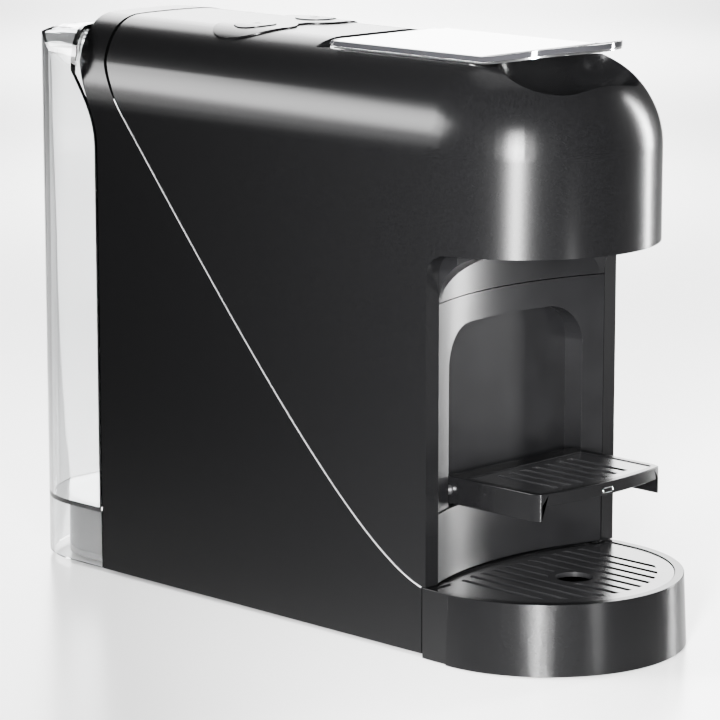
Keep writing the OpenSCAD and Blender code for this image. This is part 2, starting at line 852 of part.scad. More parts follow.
// Deck under the lever: capsule slot, cam slots and the hinge trough
module lever_deck() {
    half = deck_w / 2;
    trough = barrel_r + 0.5;
    wall_x = barrel_w / 2 + 0.4;
    color([0.1, 0.1, 0.11]) difference() {
        union() {
            block([-half, deck_front, seat_z - deck_t], [half, deck_back, seat_z - 0.05]);
            block([0.1 - cheek_x, hinge_y - 9, hinge_z - trough - 1.6], [cheek_x - 0.1, deck_back, seat_z - 0.05]);
        }
        bar_along_x(-wall_x, wall_x, hinge_y, hinge_z, trough);
        block([-wall_x, hinge_y, hinge_z], [wall_x, hinge_y + trough, far]);
        bar_along_x(-half - 1, half + 1, hinge_y, hinge_z, lever_pin_r + 0.02);
        block([-chute_w / 2, chamber_back - brew_stroke + 1, seat_z - 20], [chute_w / 2, chamber_back - 0.5, far]);
        both_sides() block([cam_x - cam_t / 2 - 0.6, hinge_y - cam_reach - 1, seat_z - 30],
                           [cam_x + cam_t / 2 + 0.6, hinge_y + 8, far]);
    }
}

module brew_frame() {
    y0 = chamber_back - brew_stroke - 2;
    y1 = deck_back + 6;
    cheek_top = seat_z - max(deck_t, wall) - 0.05;
    color([0.3, 0.3, 0.32]) difference() {
        union() {
            both_sides() {
                block([cheek_x, y0, frame_low], [cheek_x + cheek_t, y1, cheek_top]);
                block([bar_x + 0.6, y0, bar_z - 12], [cheek_x + 1, y0 + 15, bar_z - 6.1]);
            }
            block([-cheek_x - 1, y0, frame_low], [cheek_x + 1, y1, frame_low + thin_wall]);
            block([-14, injector_y + 4, frame_low + 1], [14, injector_y + 9, brew_z - 8]);
        }
        block([-chute_w / 2 - 0.1, y0 - 1, frame_low - 1], [chute_w / 2 + 0.1, chute_y1 - thin_wall, frame_low + 5]);
        bar_along_y(injector_y - 5, injector_y + 30, 0, brew_z, chamber_r - 1.95);
    }
}

module brew_chamber() {
    color([0.25, 0.25, 0.27]) difference() {
        union() {
            bar_along_y(chamber_front, chamber_back, 0, brew_z, chamber_r);
            bar_along_y(chamber_front - 7, chamber_front + 1, 0, brew_z - 10.5, 2.6);
            both_sides() {
                block([bar_x - 4, chamber_front + 6, bar_z - 6], [bar_x + bar_t, chamber_back - 3, bar_z + 4]);
                block([bar_x, chamber_front + 6, bar_z - 6], [bar_x + bar_t, hinge_y + cam_pin.x + 5, bar_z + 4]);
                bar_along_x(bar_x + 1, cam_x + cam_t / 2 + 1, hinge_y + cam_pin.x, bar_z, cam_pin_r);
            }
        }
        translate([0, chamber_back + eps, brew_z]) rotate([90, 0, 0]) cylinder(r1 = 15.5, r2 = 12.5, h = chamber_l - 4);
        bar_along_y(chamber_back - 2, chamber_back + 1, 0, brew_z, 17.2);
        bar_along_y(chamber_front - 8, chamber_front + 6, 0, brew_z - 10.5, 1.4);
    }
}

module chamber_seal() {
    color([0.5, 0.16, 0.12]) translate([0, chamber_back - 0.1, brew_z]) rotate([90, 0, 0]) difference() {
        cylinder(r = 17.1, h = 1.8);
        translate([0, 0, -1]) cylinder(r = 15.6, h = 4);
    }
}

module injector() {
    color([0.45, 0.45, 0.47]) {
        difference() {
            union() {
                bar_along_y(injector_y, injector_y + 13, 0, brew_z, chamber_r - 2);
                bar_along_y(injector_y + 12, injector_y + 24, 0, brew_z, 5);
            }
            bar_along_y(injector_y + 4, injector_y + 30, 0, brew_z, 2.2);
        }
        for (a = [0:120:240]) translate([8 * cos(a), injector_y + eps, brew_z + 8 * sin(a)])
            rotate([90, 0, 0]) cylinder(r1 = 1.4, r2 = 0.3, h = 5);
    }
}

module capsule_chute() {
    half = chute_w / 2 + thin_wall;
    low = panel_low + 1.6;
    color([0.2, 0.2, 0.21]) difference() {
        block([-half, chute_y0, low], [half, chute_y1, frame_low - 0.05]);
        block([-half + thin_wall, chute_y0 + thin_wall, low - 1], [half - thin_wall, chute_y1 - thin_wall, frame_low + 1]);
    }
}

// ---------- buttons ----------

// Plan of the button pad: two round lobes that meet in the middle
module pad_plan(inset) {
    for (side = [-1, 1]) translate([side * pad_x, 0]) circle(pad_r - inset);
    translate([-pad_x + 6, -pad_r + 8 + inset]) square([2 * pad_x - 12, 2 * pad_r - 16 - 2 * inset]);
}

// The middle of each button
module button_places() {
    for (x = [-button_x, button_x]) translate([x, pad_y, 0]) children();
}

// A solid that fills the casing's crown near the buttons, lifted by rise
module crown_fill(rise) {
    translate([0, 0, rise]) along_y(pad_y - 30, pad_y + 30) shell_section(0, shell_top - shoulder_r - 20);
}

module button_pad() {
    color([0.2, 0.2, 0.21]) difference() {
        intersection() {
            translate([0, pad_y, shell_top - 12]) linear_extrude(30) pad_plan(0);
            crown_fill(pad_rise);
        }
        crown_fill(0.05);
        button_places() translate([0, 0, shell_top - 20]) cylinder(r = button_r + 0.4, h = 30);
    }
}

// One button: a cap through the crown with a stem down to its switch
module button(x) {
    cap_top = pad_rise + 0.5;
    stem_low = board_z + 4.2 + button_travel;
    difference() {
        intersection() {
            translate([x, pad_y, shell_top - 12]) cylinder(r = button_r, h = 20);
            crown_fill(cap_top);
        }
        crown_fill(-1.6);
    }
    translate([x, pad_y, stem_low]) cylinder(r = stem_r, h = shell_top - 0.5 - stem_low);
}

module button_short() {
    color([0.22, 0.22, 0.23]) button(-button_x);
}

module button_long() {
    color([0.22, 0.22, 0.23]) button(button_x);
}

module button_spring(x) {
    low = board_z + 1.65;
    color([0.75, 0.75, 0.77]) translate([x, pad_y, low]) sleeve(stem_r + 1.2, 0.6, shell_top - 1.95 - low);
}

module spring_short() {
    button_spring(-button_x);
}

module spring_long() {
    button_spring(button_x);
}

module button_board() {
    color([0.1, 0.3, 0.18]) translate([0, pad_y, board_z]) {
        translate([-button_x - 9, -9, 0]) cube([2 * button_x + 18, 18, 1.6]);
        for (x = [-button_x, button_x]) translate([x - 2, -2, 1.5]) cube([4, 4, 2.5]);
    }
}

// ---------- water tank ----------

// The tank's outer form, drawn in by inset
module tank_form(inset, low) {
    half = body_w / 2 - inset;
    rear = body_l / 2 - inset;
    front = tank_y0 + inset;
    corner = tank_corner - inset;
    top = tank_top - inset;
    r = tank_round - inset;
    lean_y = rear - tank_lean;
    arc = [for (i = [0:8]) let (a = 90 * i / 8) [lean_y - r + r * cos(a), top - r + r * sin(a)]];
    intersection() {
        translate([0, 0, low]) linear_extrude(far) {
            translate([-half, front]) square([2 * half, rear - corner - front]);
            translate([corner - half, front]) square([2 * (half - corner), rear - front]);
            for (side = [-1, 1]) translate([side * (half - corner), rear - corner]) circle(corner);
        }
        along_x(body_w + 10) polygon(concat([[front, low], [rear, low]], arc, [[front, top]]));
        along_y(front, rear + 1) {
            translate([-half, low]) square([2 * half, top - r - low]);
            translate([r - half, low]) square([2 * (half - r), top - low]);
            for (side = [-1, 1]) translate([side * (half - r), top - r]) circle(r);
        }
    }
}

// The tank's hollow, which keeps a wall under the casing's overhang
module tank_hollow() {
    difference() {
        tank_form(tank_wall, tank_floor + tank_wall);
        translate([0, slide_gap + 0.6 + tank_wall, 0]) rear_region();
    }
}

module tank() {
    color([0.8, 0.85, 0.9, 0.35]) difference() {
        union() {
            difference() {
                tank_form(0, tank_low);
                translate([0, slide_gap + 0.3, 0]) rear_region();
                tank_hollow();
                tank_skirt();
                translate([0, -10, 0]) tank_skirt();
            }
            both_sides() block([lid_w / 2, lid_y0 - 1, lid_pin_z - 2.5], [lid_w / 2 + 3, lid_y0 + 5, tank_top - 2]);
            bar_along_y(back_y - 2.4, tank_y0 + 1, 0, outlet_z, 6.2);
        }
        block([-lid_w / 2, lid_y0 - 0.5, tank_top - 16], [lid_w / 2, lid_y0 + lid_l, tank_top + 1]);
        bar_along_y(tank_y0 - 10, tank_y0 + 10, 0, outlet_z, 5);
        bar_along_x(-lid_w / 2 - 2.5, lid_w / 2 + 2.5, lid_pin_y, lid_pin_z, lid_pin_r + 0.02);
    }
}

// Space inside the tank's skirt, where the plinth stands
module tank_skirt() {
    intersection() {
        tank_form(tank_wall, tank_low - 1);
        block([-far, -far, -1], [far, far, tank_floor]);
    }
}

module tank_lid() {
    half = lid_w / 2 - 0.4;
    color([0.8, 0.85, 0.9, 0.35]) difference() {
        union() {
            difference() {
                intersection() {
                    tank_form(0, tank_low);
                    block([-half, lid_pin_y, tank_top - 16], [half, lid_y0 + lid_l - 0.4, tank_top]);
                }
                tank_form(tank_wall, tank_low);
            }
            bar_along_x(-half, half, lid_pin_y, lid_pin_z, 1.6);
            block([-half, lid_pin_y, lid_pin_z], [half, lid_pin_y + 1.4, tank_top - 2]);
        }
        bar_along_x(-half - 3, half + 3, lid_pin_y, lid_pin_z, lid_pin_r + 0.04);
    }
}

module tank_lid_pins() {
    color([0.7, 0.7, 0.72]) both_sides() bar_along_x(lid_w / 2 - 4, lid_w / 2 + 2.2, lid_pin_y, lid_pin_z, lid_pin_r);
}

module tank_plinth() {
    inset = tank_wall + plinth_gap;
    color([0.05, 0.05, 0.05]) difference() {
        plinth_form(inset, back_y + 0.05, 2, plinth_h);
        plinth_form(inset + thin_wall, back_y + 0.05 + thin_wall, 1, plinth_h - thin_wall);
    }
}

module plinth_form(inset, front, low, high) {
    half = body_w / 2 - inset;
    rear = body_l / 2 - inset;
    corner = tank_corner - inset;
    translate([0, 0, low]) linear_extrude(high - low) intersection() {
        union() {
            translate([-half, front]) square([2 * half, rear - corner - front]);
            translate([corner - half, front]) square([2 * (half - corner), rear - front]);
            for (side = [-1, 1]) translate([side * (half - corner), rear - corner]) circle(corner);
        }
        translate([-far, front]) square([2 * far, far]);
    }
}

// Spring valve in the tank's outlet
module tank_valve() {
    color([0.15, 0.15, 0.16]) {
        bar_along_y(tank_y0 - 2, tank_y0 + 14, 0, outlet_z, 2);
        bar_along_y(tank_y0 + tank_wall + 0.6, tank_y0 + tank_wall + 2.4, 0, outlet_z, 7);
    }
}

module tank_valve_spring() {
    color([0.75, 0.75, 0.77]) translate([0, tank_y0 + tank_wall + 11, outlet_z]) rotate([90, 0, 0])
        sleeve(3, 0.6, 8.5);
}

module water_socket() {
    color([0.2, 0.2, 0.21]) difference() {
        union() {
            bar_along_y(back_y - 16, back_y - 0.1, 0, outlet_z, 9);
            bar_along_y(back_y - 5.5, back_y - 3.1, 0, outlet_z, 11);
            bar_along_y(back_y - 24, back_y - 15, 0, outlet_z, 4);
        }
        bar_along_y(back_y - 8, back_y + 1, 0, outlet_z, 6.5);
        bar_along_y(back_y - 30, back_y + 1, 0, outlet_z, 2.6);
    }
}

module socket_seal() {
    color([0.5, 0.16, 0.12]) translate([0, back_y - 2.5, outlet_z]) rotate([90, 0, 0]) difference() {
        cylinder(r = 6.45, h = 3);
        translate([0, 0, -1]) cylinder(r = 4.4, h = 5);
    }
}

// ---------- water works ----------

module chassis() {
    half = body_w / 2 - wall - 3;
    y0 = chassis_y;
    y1 = back_y - 4;
    shelf_top = boiler_z - 8;
    color([0.2, 0.2, 0.21]) difference() {
        union() {
            block([-half, tray_back + 16, floor_z], [half, y1, floor_z + 2]);
            block([-half, y0, floor_z], [half, y0 + 2.5, shelf_top]);
            for (x = [-44, 44]) block([x - 1.25, y0, floor_z], [x + 1.25, y0 + 22, shelf_top]);
            for (x = [-34, 34]) block([x - 1.5, tray_back + 18, floor_z], [x + 1.5, y0 + 1, bin_z - 0.5]);
            block([-half, y0, shelf_top - 2], [half, boiler_y + 34, shelf_top]);
            screw_places() translate([0, 0, 4.6]) cylinder(r = 4, h = 6);
        }
        screw_places() translate([0, 0, -1]) cylinder(r = 1.8, h = 14);
    }
}

module pump_body() {
    color([0.85, 0.85, 0.83]) translate([pump_x, pump_y, pump_z]) difference() {
        union() {
            bar_along_y(12 - pump_reach, pump_reach - 12, 0, 0, 9);
            bar_along_y(pump_reach - 13, pump_reach - 5, 0, 0, 3.5);
            bar_along_y(4 - pump_reach, 13 - pump_reach, 0, 0, 5.5);
        }
        bar_along_y(18 - pump_reach, pump_reach - 18, 0, 0, 6.5);
        bar_along_y(-far, far, 0, 0, 1.8);
    }
}

module pump_plunger() {
    color([0.7, 0.7, 0.72]) translate([pump_x, pump_y, pump_z]) difference() {
        bar_along_y(-14, 8, 0, 0, 6.42);
        bar_along_y(-20, 20, 0, 0, 1.5);
    }
}

module pump_spring() {
    color([0.75, 0.75, 0.77]) translate([pump_x, pump_y + pump_reach - 18.1, pump_z]) rotate([90, 0, 0])
        sleeve(6, 0.7, pump_reach - 26.2);
}

module pump_coil() {
    color([0.6, 0.35, 0.15]) translate([pump_x, pump_y, pump_z]) difference() {
        block([-19, -21, -19], [19, 21, 19]);
        bar_along_y(-30, 30, 0, 0, 9.1);
    }
}

module pump_mounts() {
    color([0.1, 0.1, 0.1]) for (y = [-14, 14], x = [-12, 12])
        translate([pump_x + x, pump_y + y, floor_z + 2.05]) cylinder(r = 5, h = pump_z - 19.1 - floor_z - 2.05);
}

module flow_meter() {
    color([0.85, 0.85, 0.83]) translate([meter_x, meter_y, outlet_z]) difference() {
        union() {
            translate([0, 0, -6]) cylinder(r = 11, h = 12);
            bar_along_x(9, 17, 0, 0, 3);
            bar_along_y(-17, -9, 0, 0, 3);
        }
        translate([0, 0, -4]) cylinder(r = 9, h = 8);
    }
}

module flow_rotor() {
    color([0.1, 0.3, 0.7]) translate([meter_x, meter_y, outlet_z - 2.5]) {
        cylinder(r = 2.5, h = 5);
        for (a = [0:60:300]) rotate([0, 0, a]) translate([2, -0.5, 0]) cube([5.6, 1, 5]);
    }
}

module boiler() {
    color([0.7, 0.7, 0.72]) difference() {
        union() {
            block([-26, boiler_y - 26, boiler_z - 8 + 0.05], [26, boiler_y + 26, boiler_z + 14]);
            for (i = [-2:2]) block([i * 10 - 1.5, boiler_y - 24, boiler_z + 13], [i * 10 + 1.5, boiler_y + 24, boiler_z + 19]);
            bar_along_y(boiler_y - 34, boiler_y - 25, 0, boiler_z + 4, 4);
            bar_along_y(boiler_y + 25, boiler_y + 34, 0, boiler_z + 4, 4);
        }
        bar_along_y(boiler_y - 40, boiler_y + 40, 0, boiler_z + 4, 2);
    }
}

module thermostats() {
    color([0.75, 0.7, 0.6]) for (y = [-12, 12]) translate([26.05, boiler_y + y, boiler_z + 3]) rotate([0, 90, 0]) {
        cylinder(r = 7.5, h = 6);
        translate([0, 0, 5]) cylinder(r = 5, h = 4);
    }
}

module control_board() {
    color([0.1, 0.3, 0.18]) {
        block([board_x, boiler_y - 30, boiler_z + 20], [board_x + 1.6, boiler_y + 30, boiler_z + 68]);
        block([board_x - 14, boiler_y - 22, boiler_z + 26], [board_x + 0.5, boiler_y - 6, boiler_z + 48]);
        block([board_x - 9, boiler_y + 4, boiler_z + 30], [board_x + 0.5, boiler_y + 22, boiler_z + 40]);
    }
}

// A ball that joins two straight runs of a hose
module elbow(place, r) translate(place) sphere(1.25 * r);

// Hose from the water socket to the flow meter
module suction_hose() {
    y = meter_y;
    r = 2.8;
    color([0.85, 0.85, 0.85]) {
        bar_along_y(y, back_y - 24.05, 0, outlet_z, r);
        bar_along_x(meter_x + 17.05, 0, y, outlet_z, r);
        elbow([0, y, outlet_z], r);
    }
}

// Hose from the flow meter round to the front of the pump
module feed_hose() {
    y = pump_y - pump_reach - 1;
    r = 2.8;
    color([0.85, 0.85, 0.85]) {
        bar_along_y(y, meter_y - 17.05, meter_x, outlet_z, r);
        bar_along_x(meter_x, pump_x, y, outlet_z, r);
        bar_along_y(y, pump_y - pump_reach + 3.95, pump_x, outlet_z, r);
        elbow([meter_x, y, outlet_z], r);
        elbow([pump_x, y, outlet_z], r);
    }
}

// Hose from the pump up to the boiler
module pressure_hose() {
    y = pump_y + pump_reach - 1;
    z = boiler_z + 4;
    r = 2.4;
    color([0.9, 0.9, 0.88]) {
        bar_along_y(pump_y + pump_reach - 4.95, y, pump_x, pump_z, r);
        translate([pump_x, y, pump_z]) cylinder(r = r, h = z - pump_z);
        bar_along_x(0, pump_x, y, z, r);
        bar_along_y(boiler_y + 34.05, y, 0, z, r);
        elbow([pump_x, y, pump_z], r);
        elbow([pump_x, y, z], r);
        elbow([0, y, z], r);
    }
}

// Hose from the boiler to the injector
module brew_hose() {
    y = boiler_y - 39;
    z = boiler_z + 4;
    r = 2.4;
    color([0.9, 0.9, 0.88]) {
        bar_along_y(y, boiler_y - 34.05, 0, z, r);
        translate([0, y, z]) cylinder(r = r, h = brew_z - z);
        bar_along_y(injector_y + 24.05, y, 0, brew_z, r);
        elbow([0, y, z], r);
        elbow([0, y, brew_z], r);
    }
}

base_plate();
feet();
base_screws();
upper_shell();
lower_shell();
rear_panel();
brew_hood();
column_panel();
spout();
outlet_funnel();
lever_frame();
lever_cover();
lever_pin();
lever_deck();
brew_frame();
brew_chamber();
chamber_seal();
injector();
capsule_chute();
button_pad();
button_short();
button_long();
spring_short();
spring_long();
button_board();
tank();
tank_lid();
tank_lid_pins();
tank_plinth();
tank_valve();
tank_valve_spring();
water_socket();
socket_seal();
drip_tray();
drip_grille();
capsule_bin();
cup_shelf();
shelf_grille();
shelf_pins();
chassis();
pump_body();
pump_plunger();
pump_spring();
pump_coil();
pump_mounts();
flow_meter();
flow_rotor();
boiler();
thermostats();
control_board();
suction_hose();
feed_hose();
pressure_hose();
brew_hose();
cord_inlet();
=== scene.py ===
"""Pod coffee machine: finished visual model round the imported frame."""

from __future__ import annotations

import json
import logging
import math
from collections.abc import Iterable, Sequence
from dataclasses import dataclass, field
from enum import Enum

import bpy
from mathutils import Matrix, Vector

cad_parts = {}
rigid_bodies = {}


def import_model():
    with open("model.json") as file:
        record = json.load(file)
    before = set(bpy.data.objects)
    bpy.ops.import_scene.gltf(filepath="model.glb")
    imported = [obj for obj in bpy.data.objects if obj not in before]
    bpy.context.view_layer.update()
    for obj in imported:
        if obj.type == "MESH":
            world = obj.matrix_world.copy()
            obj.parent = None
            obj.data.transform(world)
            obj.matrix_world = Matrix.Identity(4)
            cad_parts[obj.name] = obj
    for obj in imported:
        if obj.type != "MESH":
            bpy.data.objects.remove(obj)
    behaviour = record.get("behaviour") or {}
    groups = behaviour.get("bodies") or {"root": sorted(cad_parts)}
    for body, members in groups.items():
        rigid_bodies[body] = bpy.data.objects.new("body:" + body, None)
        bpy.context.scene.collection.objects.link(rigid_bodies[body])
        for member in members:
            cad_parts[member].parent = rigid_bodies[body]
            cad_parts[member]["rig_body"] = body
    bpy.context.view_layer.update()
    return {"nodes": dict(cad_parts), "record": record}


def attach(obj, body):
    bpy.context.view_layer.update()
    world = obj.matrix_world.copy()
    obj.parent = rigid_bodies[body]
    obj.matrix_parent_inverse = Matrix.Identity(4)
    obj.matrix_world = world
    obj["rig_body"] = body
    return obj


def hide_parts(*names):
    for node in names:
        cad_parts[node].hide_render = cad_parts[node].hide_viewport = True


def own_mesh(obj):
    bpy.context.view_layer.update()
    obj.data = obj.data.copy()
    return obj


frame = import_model()

LOG = logging.getLogger("coffee_machine")
MM = 0.001
Point = tuple[float, float, float]


class Axis(Enum):
    """The part's own directions."""

    X = (1.0, 0.0, 0.0)
    Y = (0.0, 1.0, 0.0)
    Z = (0.0, 0.0, 1.0)


# ---------------------------------------------------------------- places


@dataclass(frozen=True)
class Layout:
    """Sizes of the machine that its pieces share, in metres."""

    half_width: float = 0.059
    crown: float = 0.250
    shoulder: float = 0.040

    def side_x(self, z: float) -> float:
        """Half width of the casing at a height.

        Args:
            z: height above the table.

        Returns:
            The distance from the middle to the casing's surface.
        """
        low = self.crown - self.shoulder
        if z <= low:
            return self.half_width
        rise = min(z - low, self.shoulder)
        return self.half_width - self.shoulder + math.sqrt(self.shoulder**2 - rise**2)

    def crown_z(self, x: float) -> float:
        """Height of the casing's surface over a distance from the middle.

        Args:
            x: distance from the middle, either side.

        Returns:
            The height above the table.
        """
        out = max(abs(x) - (self.half_width - self.shoulder), 0.0)
        return self.crown - self.shoulder + math.sqrt(max(self.shoulder**2 - out**2, 0.0))


LAYOUT = Layout()


# ---------------------------------------------------------------- node groups


BROAD_CLOUD = 26.0
FLAKE_SHARE = 0.5


class Socket(Enum):
    """Kinds of group socket."""

    VALUE = "NodeSocketFloat"
    COLOUR = "NodeSocketColor"
    VECTOR = "NodeSocketVector"


class GroupMaker:
    """Builds one shader node group with named inputs and outputs."""

    def __init__(self, name: str) -> None:
        """Makes the empty group.

        Args:
            name: the group's name.
        """
        self.tree = bpy.data.node_groups.new(name, "ShaderNodeTree")
        self.entry = self.tree.nodes.new("NodeGroupInput")
        self.exit = self.tree.nodes.new("NodeGroupOutput")

    def takes(self, name: str, value: float | Sequence[float], kind: Socket = Socket.VALUE) -> None:
        """Adds an input with its starting value."""
        socket = self.tree.interface.new_socket(name, in_out="INPUT", socket_type=kind.value)
        socket.default_value = value

    def gives(self, name: str, kind: Socket = Socket.VALUE) -> None:
        """Adds an output."""
        self.tree.interface.new_socket(name, in_out="OUTPUT", socket_type=kind.value)

    def node(self, kind: str, **values: object) -> bpy.types.Node:
        """Adds a node and sets its properties.

        Args:
            kind: the node's type name.
            **values: properties to set on the node.

        Returns:
            The new node.
        """
        made = self.tree.nodes.new(kind)
        for key, value in values.items():
            setattr(made, key, value)
        return made

    def join(self, source: bpy.types.NodeSocket, target: bpy.types.NodeSocket) -> None:
        """Links one socket to another."""
        self.tree.links.new(source, target)

    def noise(self, scale: bpy.types.NodeSocket | float, detail: float) -> bpy.types.Node:
        """Adds a noise texture on object coordinates.

        Args:
            scale: a scale, or the socket that gives it.
            detail: how many finer layers it has.

        Returns:
            The noise node.
        """
        place = self.node("ShaderNodeTexCoord")
        texture = self.node("ShaderNodeTexNoise")
        texture.inputs["Detail"].default_value = detail
        self.join(place.outputs["Object"], texture.inputs["Vector"])
        if isinstance(scale, float):
            texture.inputs["Scale"].default_value = scale
        else:
            self.join(scale, texture.inputs["Scale"])
        return texture

    def spread(self, source: bpy.types.NodeSocket, low: bpy.types.NodeSocket | float,
               high: bpy.types.NodeSocket | float) -> bpy.types.NodeSocket:
        """Maps a 0 to 1 value to a range.

        Args:
            source: the value's socket.
            low: the result at 0.
            high: the result at 1.

        Returns:
            The result's socket.
        """
        ranger = self.node("ShaderNodeMapRange")
        self.join(source, ranger.inputs["Value"])
        for name, value in (("To Min", low), ("To Max", high)):
            if isinstance(value, float):
                ranger.inputs[name].default_value = value
            else:
                self.join(value, ranger.inputs[name])
        return ranger.outputs["Result"]


def grain_group() -> bpy.types.NodeTree:
    """Fine moulded or sprayed grain.

    Returns:
        A group that gives a height and a roughness that varies about its middle.
    """
    maker = GroupMaker("surface_grain")
    maker.takes("Scale", 1800.0)
    maker.takes("Roughness", 0.4)
    maker.takes("Variation", 0.05)
    maker.gives("Height")
    maker.gives("Roughness")
    fine = maker.noise(maker.entry.outputs["Scale"], 2.0)
    broad = maker.noise(BROAD_CLOUD, 3.0)
    less = maker.node("ShaderNodeMath", operation="SUBTRACT")
    more = maker.node("ShaderNodeMath", operation="ADD")
    for math_node in (less, more):
        maker.join(maker.entry.outputs["Roughness"], math_node.inputs[0])
        maker.join(maker.entry.outputs["Variation"], math_node.inputs[1])
    rough = maker.spread(broad.outputs["Fac"], less.outputs[0], more.outputs[0])
    maker.join(fine.outputs["Fac"], maker.exit.inputs["Height"])
    maker.join(rough, maker.exit.inputs["Roughness"])
    return maker.tree


def flake_group() -> bpy.types.NodeTree:
    """Metallic flakes in a dark lacquer.

    Returns:
        A group that gives a colour between a base and a flake colour.
    """
    maker = GroupMaker("lacquer_flakes")
    maker.takes("Base", (0.05, 0.05, 0.05, 1.0), Socket.COLOUR)
    maker.takes("Flake", (0.2, 0.2, 0.2, 1.0), Socket.COLOUR)
    maker.takes("Scale", 3500.0)
    maker.gives("Colour", Socket.COLOUR)
    place = maker.node("ShaderNodeTexCoord")
    cells = maker.node("ShaderNodeTexVoronoi")
    maker.join(place.outputs["Object"], cells.inputs["Vector"])
    maker.join(maker.entry.outputs["Scale"], cells.inputs["Scale"])
    split = maker.node("ShaderNodeSeparateColor")
    maker.join(cells.outputs["Color"], split.inputs["Color"])
    share = maker.spread(split.outputs["Red"], 0.0, FLAKE_SHARE)
    mix = maker.node("ShaderNodeMix", data_type="RGBA")
    maker.join(share, mix.inputs["Factor"])
    maker.join(maker.entry.outputs["Base"], mix.inputs["A"])
    maker.join(maker.entry.outputs["Flake"], mix.inputs["B"])
    maker.join(mix.outputs["Result"], maker.exit.inputs["Colour"])
    return maker.tree


def mottle_group() -> bpy.types.NodeTree:
    """Slow colour variation, as in moulded plastic or rubber.

    Returns:
        A group that gives a colour.
    """
    maker = GroupMaker("colour_mottle")
    maker.takes("Dark", (0.02, 0.02, 0.02, 1.0), Socket.COLOUR)
    maker.takes("Light", (0.03, 0.03, 0.03, 1.0), Socket.COLOUR)
    maker.takes("Scale", 60.0)
    maker.gives("Colour", Socket.COLOUR)
    cloud = maker.noise(maker.entry.outputs["Scale"], 4.0)
    mix = maker.node("ShaderNodeMix", data_type="RGBA")
    maker.join(cloud.outputs["Fac"], mix.inputs["Factor"])
    maker.join(maker.entry.outputs["Dark"], mix.inputs["A"])
    maker.join(maker.entry.outputs["Light"], mix.inputs["B"])
    maker.join(mix.outputs["Result"], maker.exit.inputs["Colour"])
    return maker.tree


@dataclass
class Groups:
    """The shared shader effects, each built once."""

    grain: bpy.types.NodeTree = field(default_factory=grain_group)
    flakes: bpy.types.NodeTree = field(default_factory=flake_group)
    mottle: bpy.types.NodeTree = field(default_factory=mottle_group)


GROUPS = Groups()


# ---------------------------------------------------------------- finishes

Colour = tuple[float, float, float]


@dataclass(frozen=True)
class Finish:
    """A surface with grain, slow colour variation and optional flakes."""

    name: str
    dark: Colour
    light: Colour
    roughness: float
    variation: float = 0.04
    metallic: float = 0.0
    coat: float = 0.0
    coat_roughness: float = 0.06
    grain_scale: float = 1800.0
    grain_height: float = 0.02
    mottle_scale: float = 60.0
    flakes: bool = False
    specular: float = 0.5
    bump: float = 0.35

    def material(self) -> bpy.types.Material:
        """Makes the material, or gives the one made before.

        Returns:
            The material.
        """
        found = bpy.data.materials.get(self.name)
        if found is not None:
            return found
        made = bpy.data.materials.new(self.name)
        made.use_nodes = True
        tree = made.node_tree
        shader = tree.nodes["Principled BSDF"]
        shader.inputs["Metallic"].default_value = self.metallic
        shader.inputs["Coat Weight"].default_value = self.coat
        shader.inputs["Coat Roughness"].default_value = self.coat_roughness
        shader.inputs["Specular IOR Level"].default_value = self.specular
        colour = tree.nodes.new("ShaderNodeGroup")
        names = ("Base", "Flake") if self.flakes else ("Dark", "Light")
        colour.node_tree = GROUPS.flakes if self.flakes else GROUPS.mottle
        for name, value in zip(names, (self.dark, self.light)):
            colour.inputs[name].default_value = (*value, 1.0)
        if not self.flakes:
            colour.inputs["Scale"].default_value = self.mottle_scale
        grain = tree.nodes.new("ShaderNodeGroup")
        grain.node_tree = GROUPS.grain
        grain.inputs["Scale"].default_value = self.grain_scale
        grain.inputs["Roughness"].default_value = self.roughness
        grain.inputs["Variation"].default_value = self.variation
        bump = tree.nodes.new("ShaderNodeBump")
        bump.inputs["Strength"].default_value = self.bump
        bump.inputs["Distance"].default_value = self.grain_height * MM
        tree.links.new(colour.outputs["Colour"], shader.inputs["Base Color"])
        tree.links.new(grain.outputs["Roughness"], shader.inputs["Roughness"])
        tree.links.new(grain.outputs["Height"], bump.inputs["Height"])
        tree.links.new(bump.outputs["Normal"], shader.inputs["Normal"])
        return made


@dataclass(frozen=True)
class ClearFinish:
    """Clear moulded plastic that bends light."""

    name: str
    tint: Colour = (0.97, 0.98, 0.985)
    roughness: float = 0.015
    ior: float = 1.49
    tint_fade: float = 0.985
    cloud_scale: float = 18.0
    wave_scale: float = 90.0
    variation: float = 0.01

    def material(self) -> bpy.types.Material:
        """Makes the material, or gives the one made before.

        Returns:
            The material.
        """
        found = bpy.data.materials.get(self.name)
        if found is not None:
            return found
        made = bpy.data.materials.new(self.name)
        made.use_nodes = True
        tree = made.node_tree
        shader = tree.nodes["Principled BSDF"]
        shader.inputs["Transmission Weight"].default_value = 1.0
        shader.inputs["IOR"].default_value = self.ior
        tint = tree.nodes.new("ShaderNodeGroup")
        tint.node_tree = GROUPS.mottle
        tint.inputs["Dark"].default_value = (*[c * self.tint_fade for c in self.tint], 1.0)
        tint.inputs["Light"].default_value = (*self.tint, 1.0)
        tint.inputs["Scale"].default_value = self.cloud_scale
        grain = tree.nodes.new("ShaderNodeGroup")
        grain.node_tree = GROUPS.grain
        grain.inputs["Scale"].default_value = self.wave_scale
        grain.inputs["Roughness"].default_value = self.roughness
        grain.inputs["Variation"].default_value = self.variation
        tree.links.new(tint.outputs["Colour"], shader.inputs["Base Color"])
        tree.links.new(grain.outputs["Roughness"], shader.inputs["Roughness"])
        return made


AnyFinish = Finish | ClearFinish


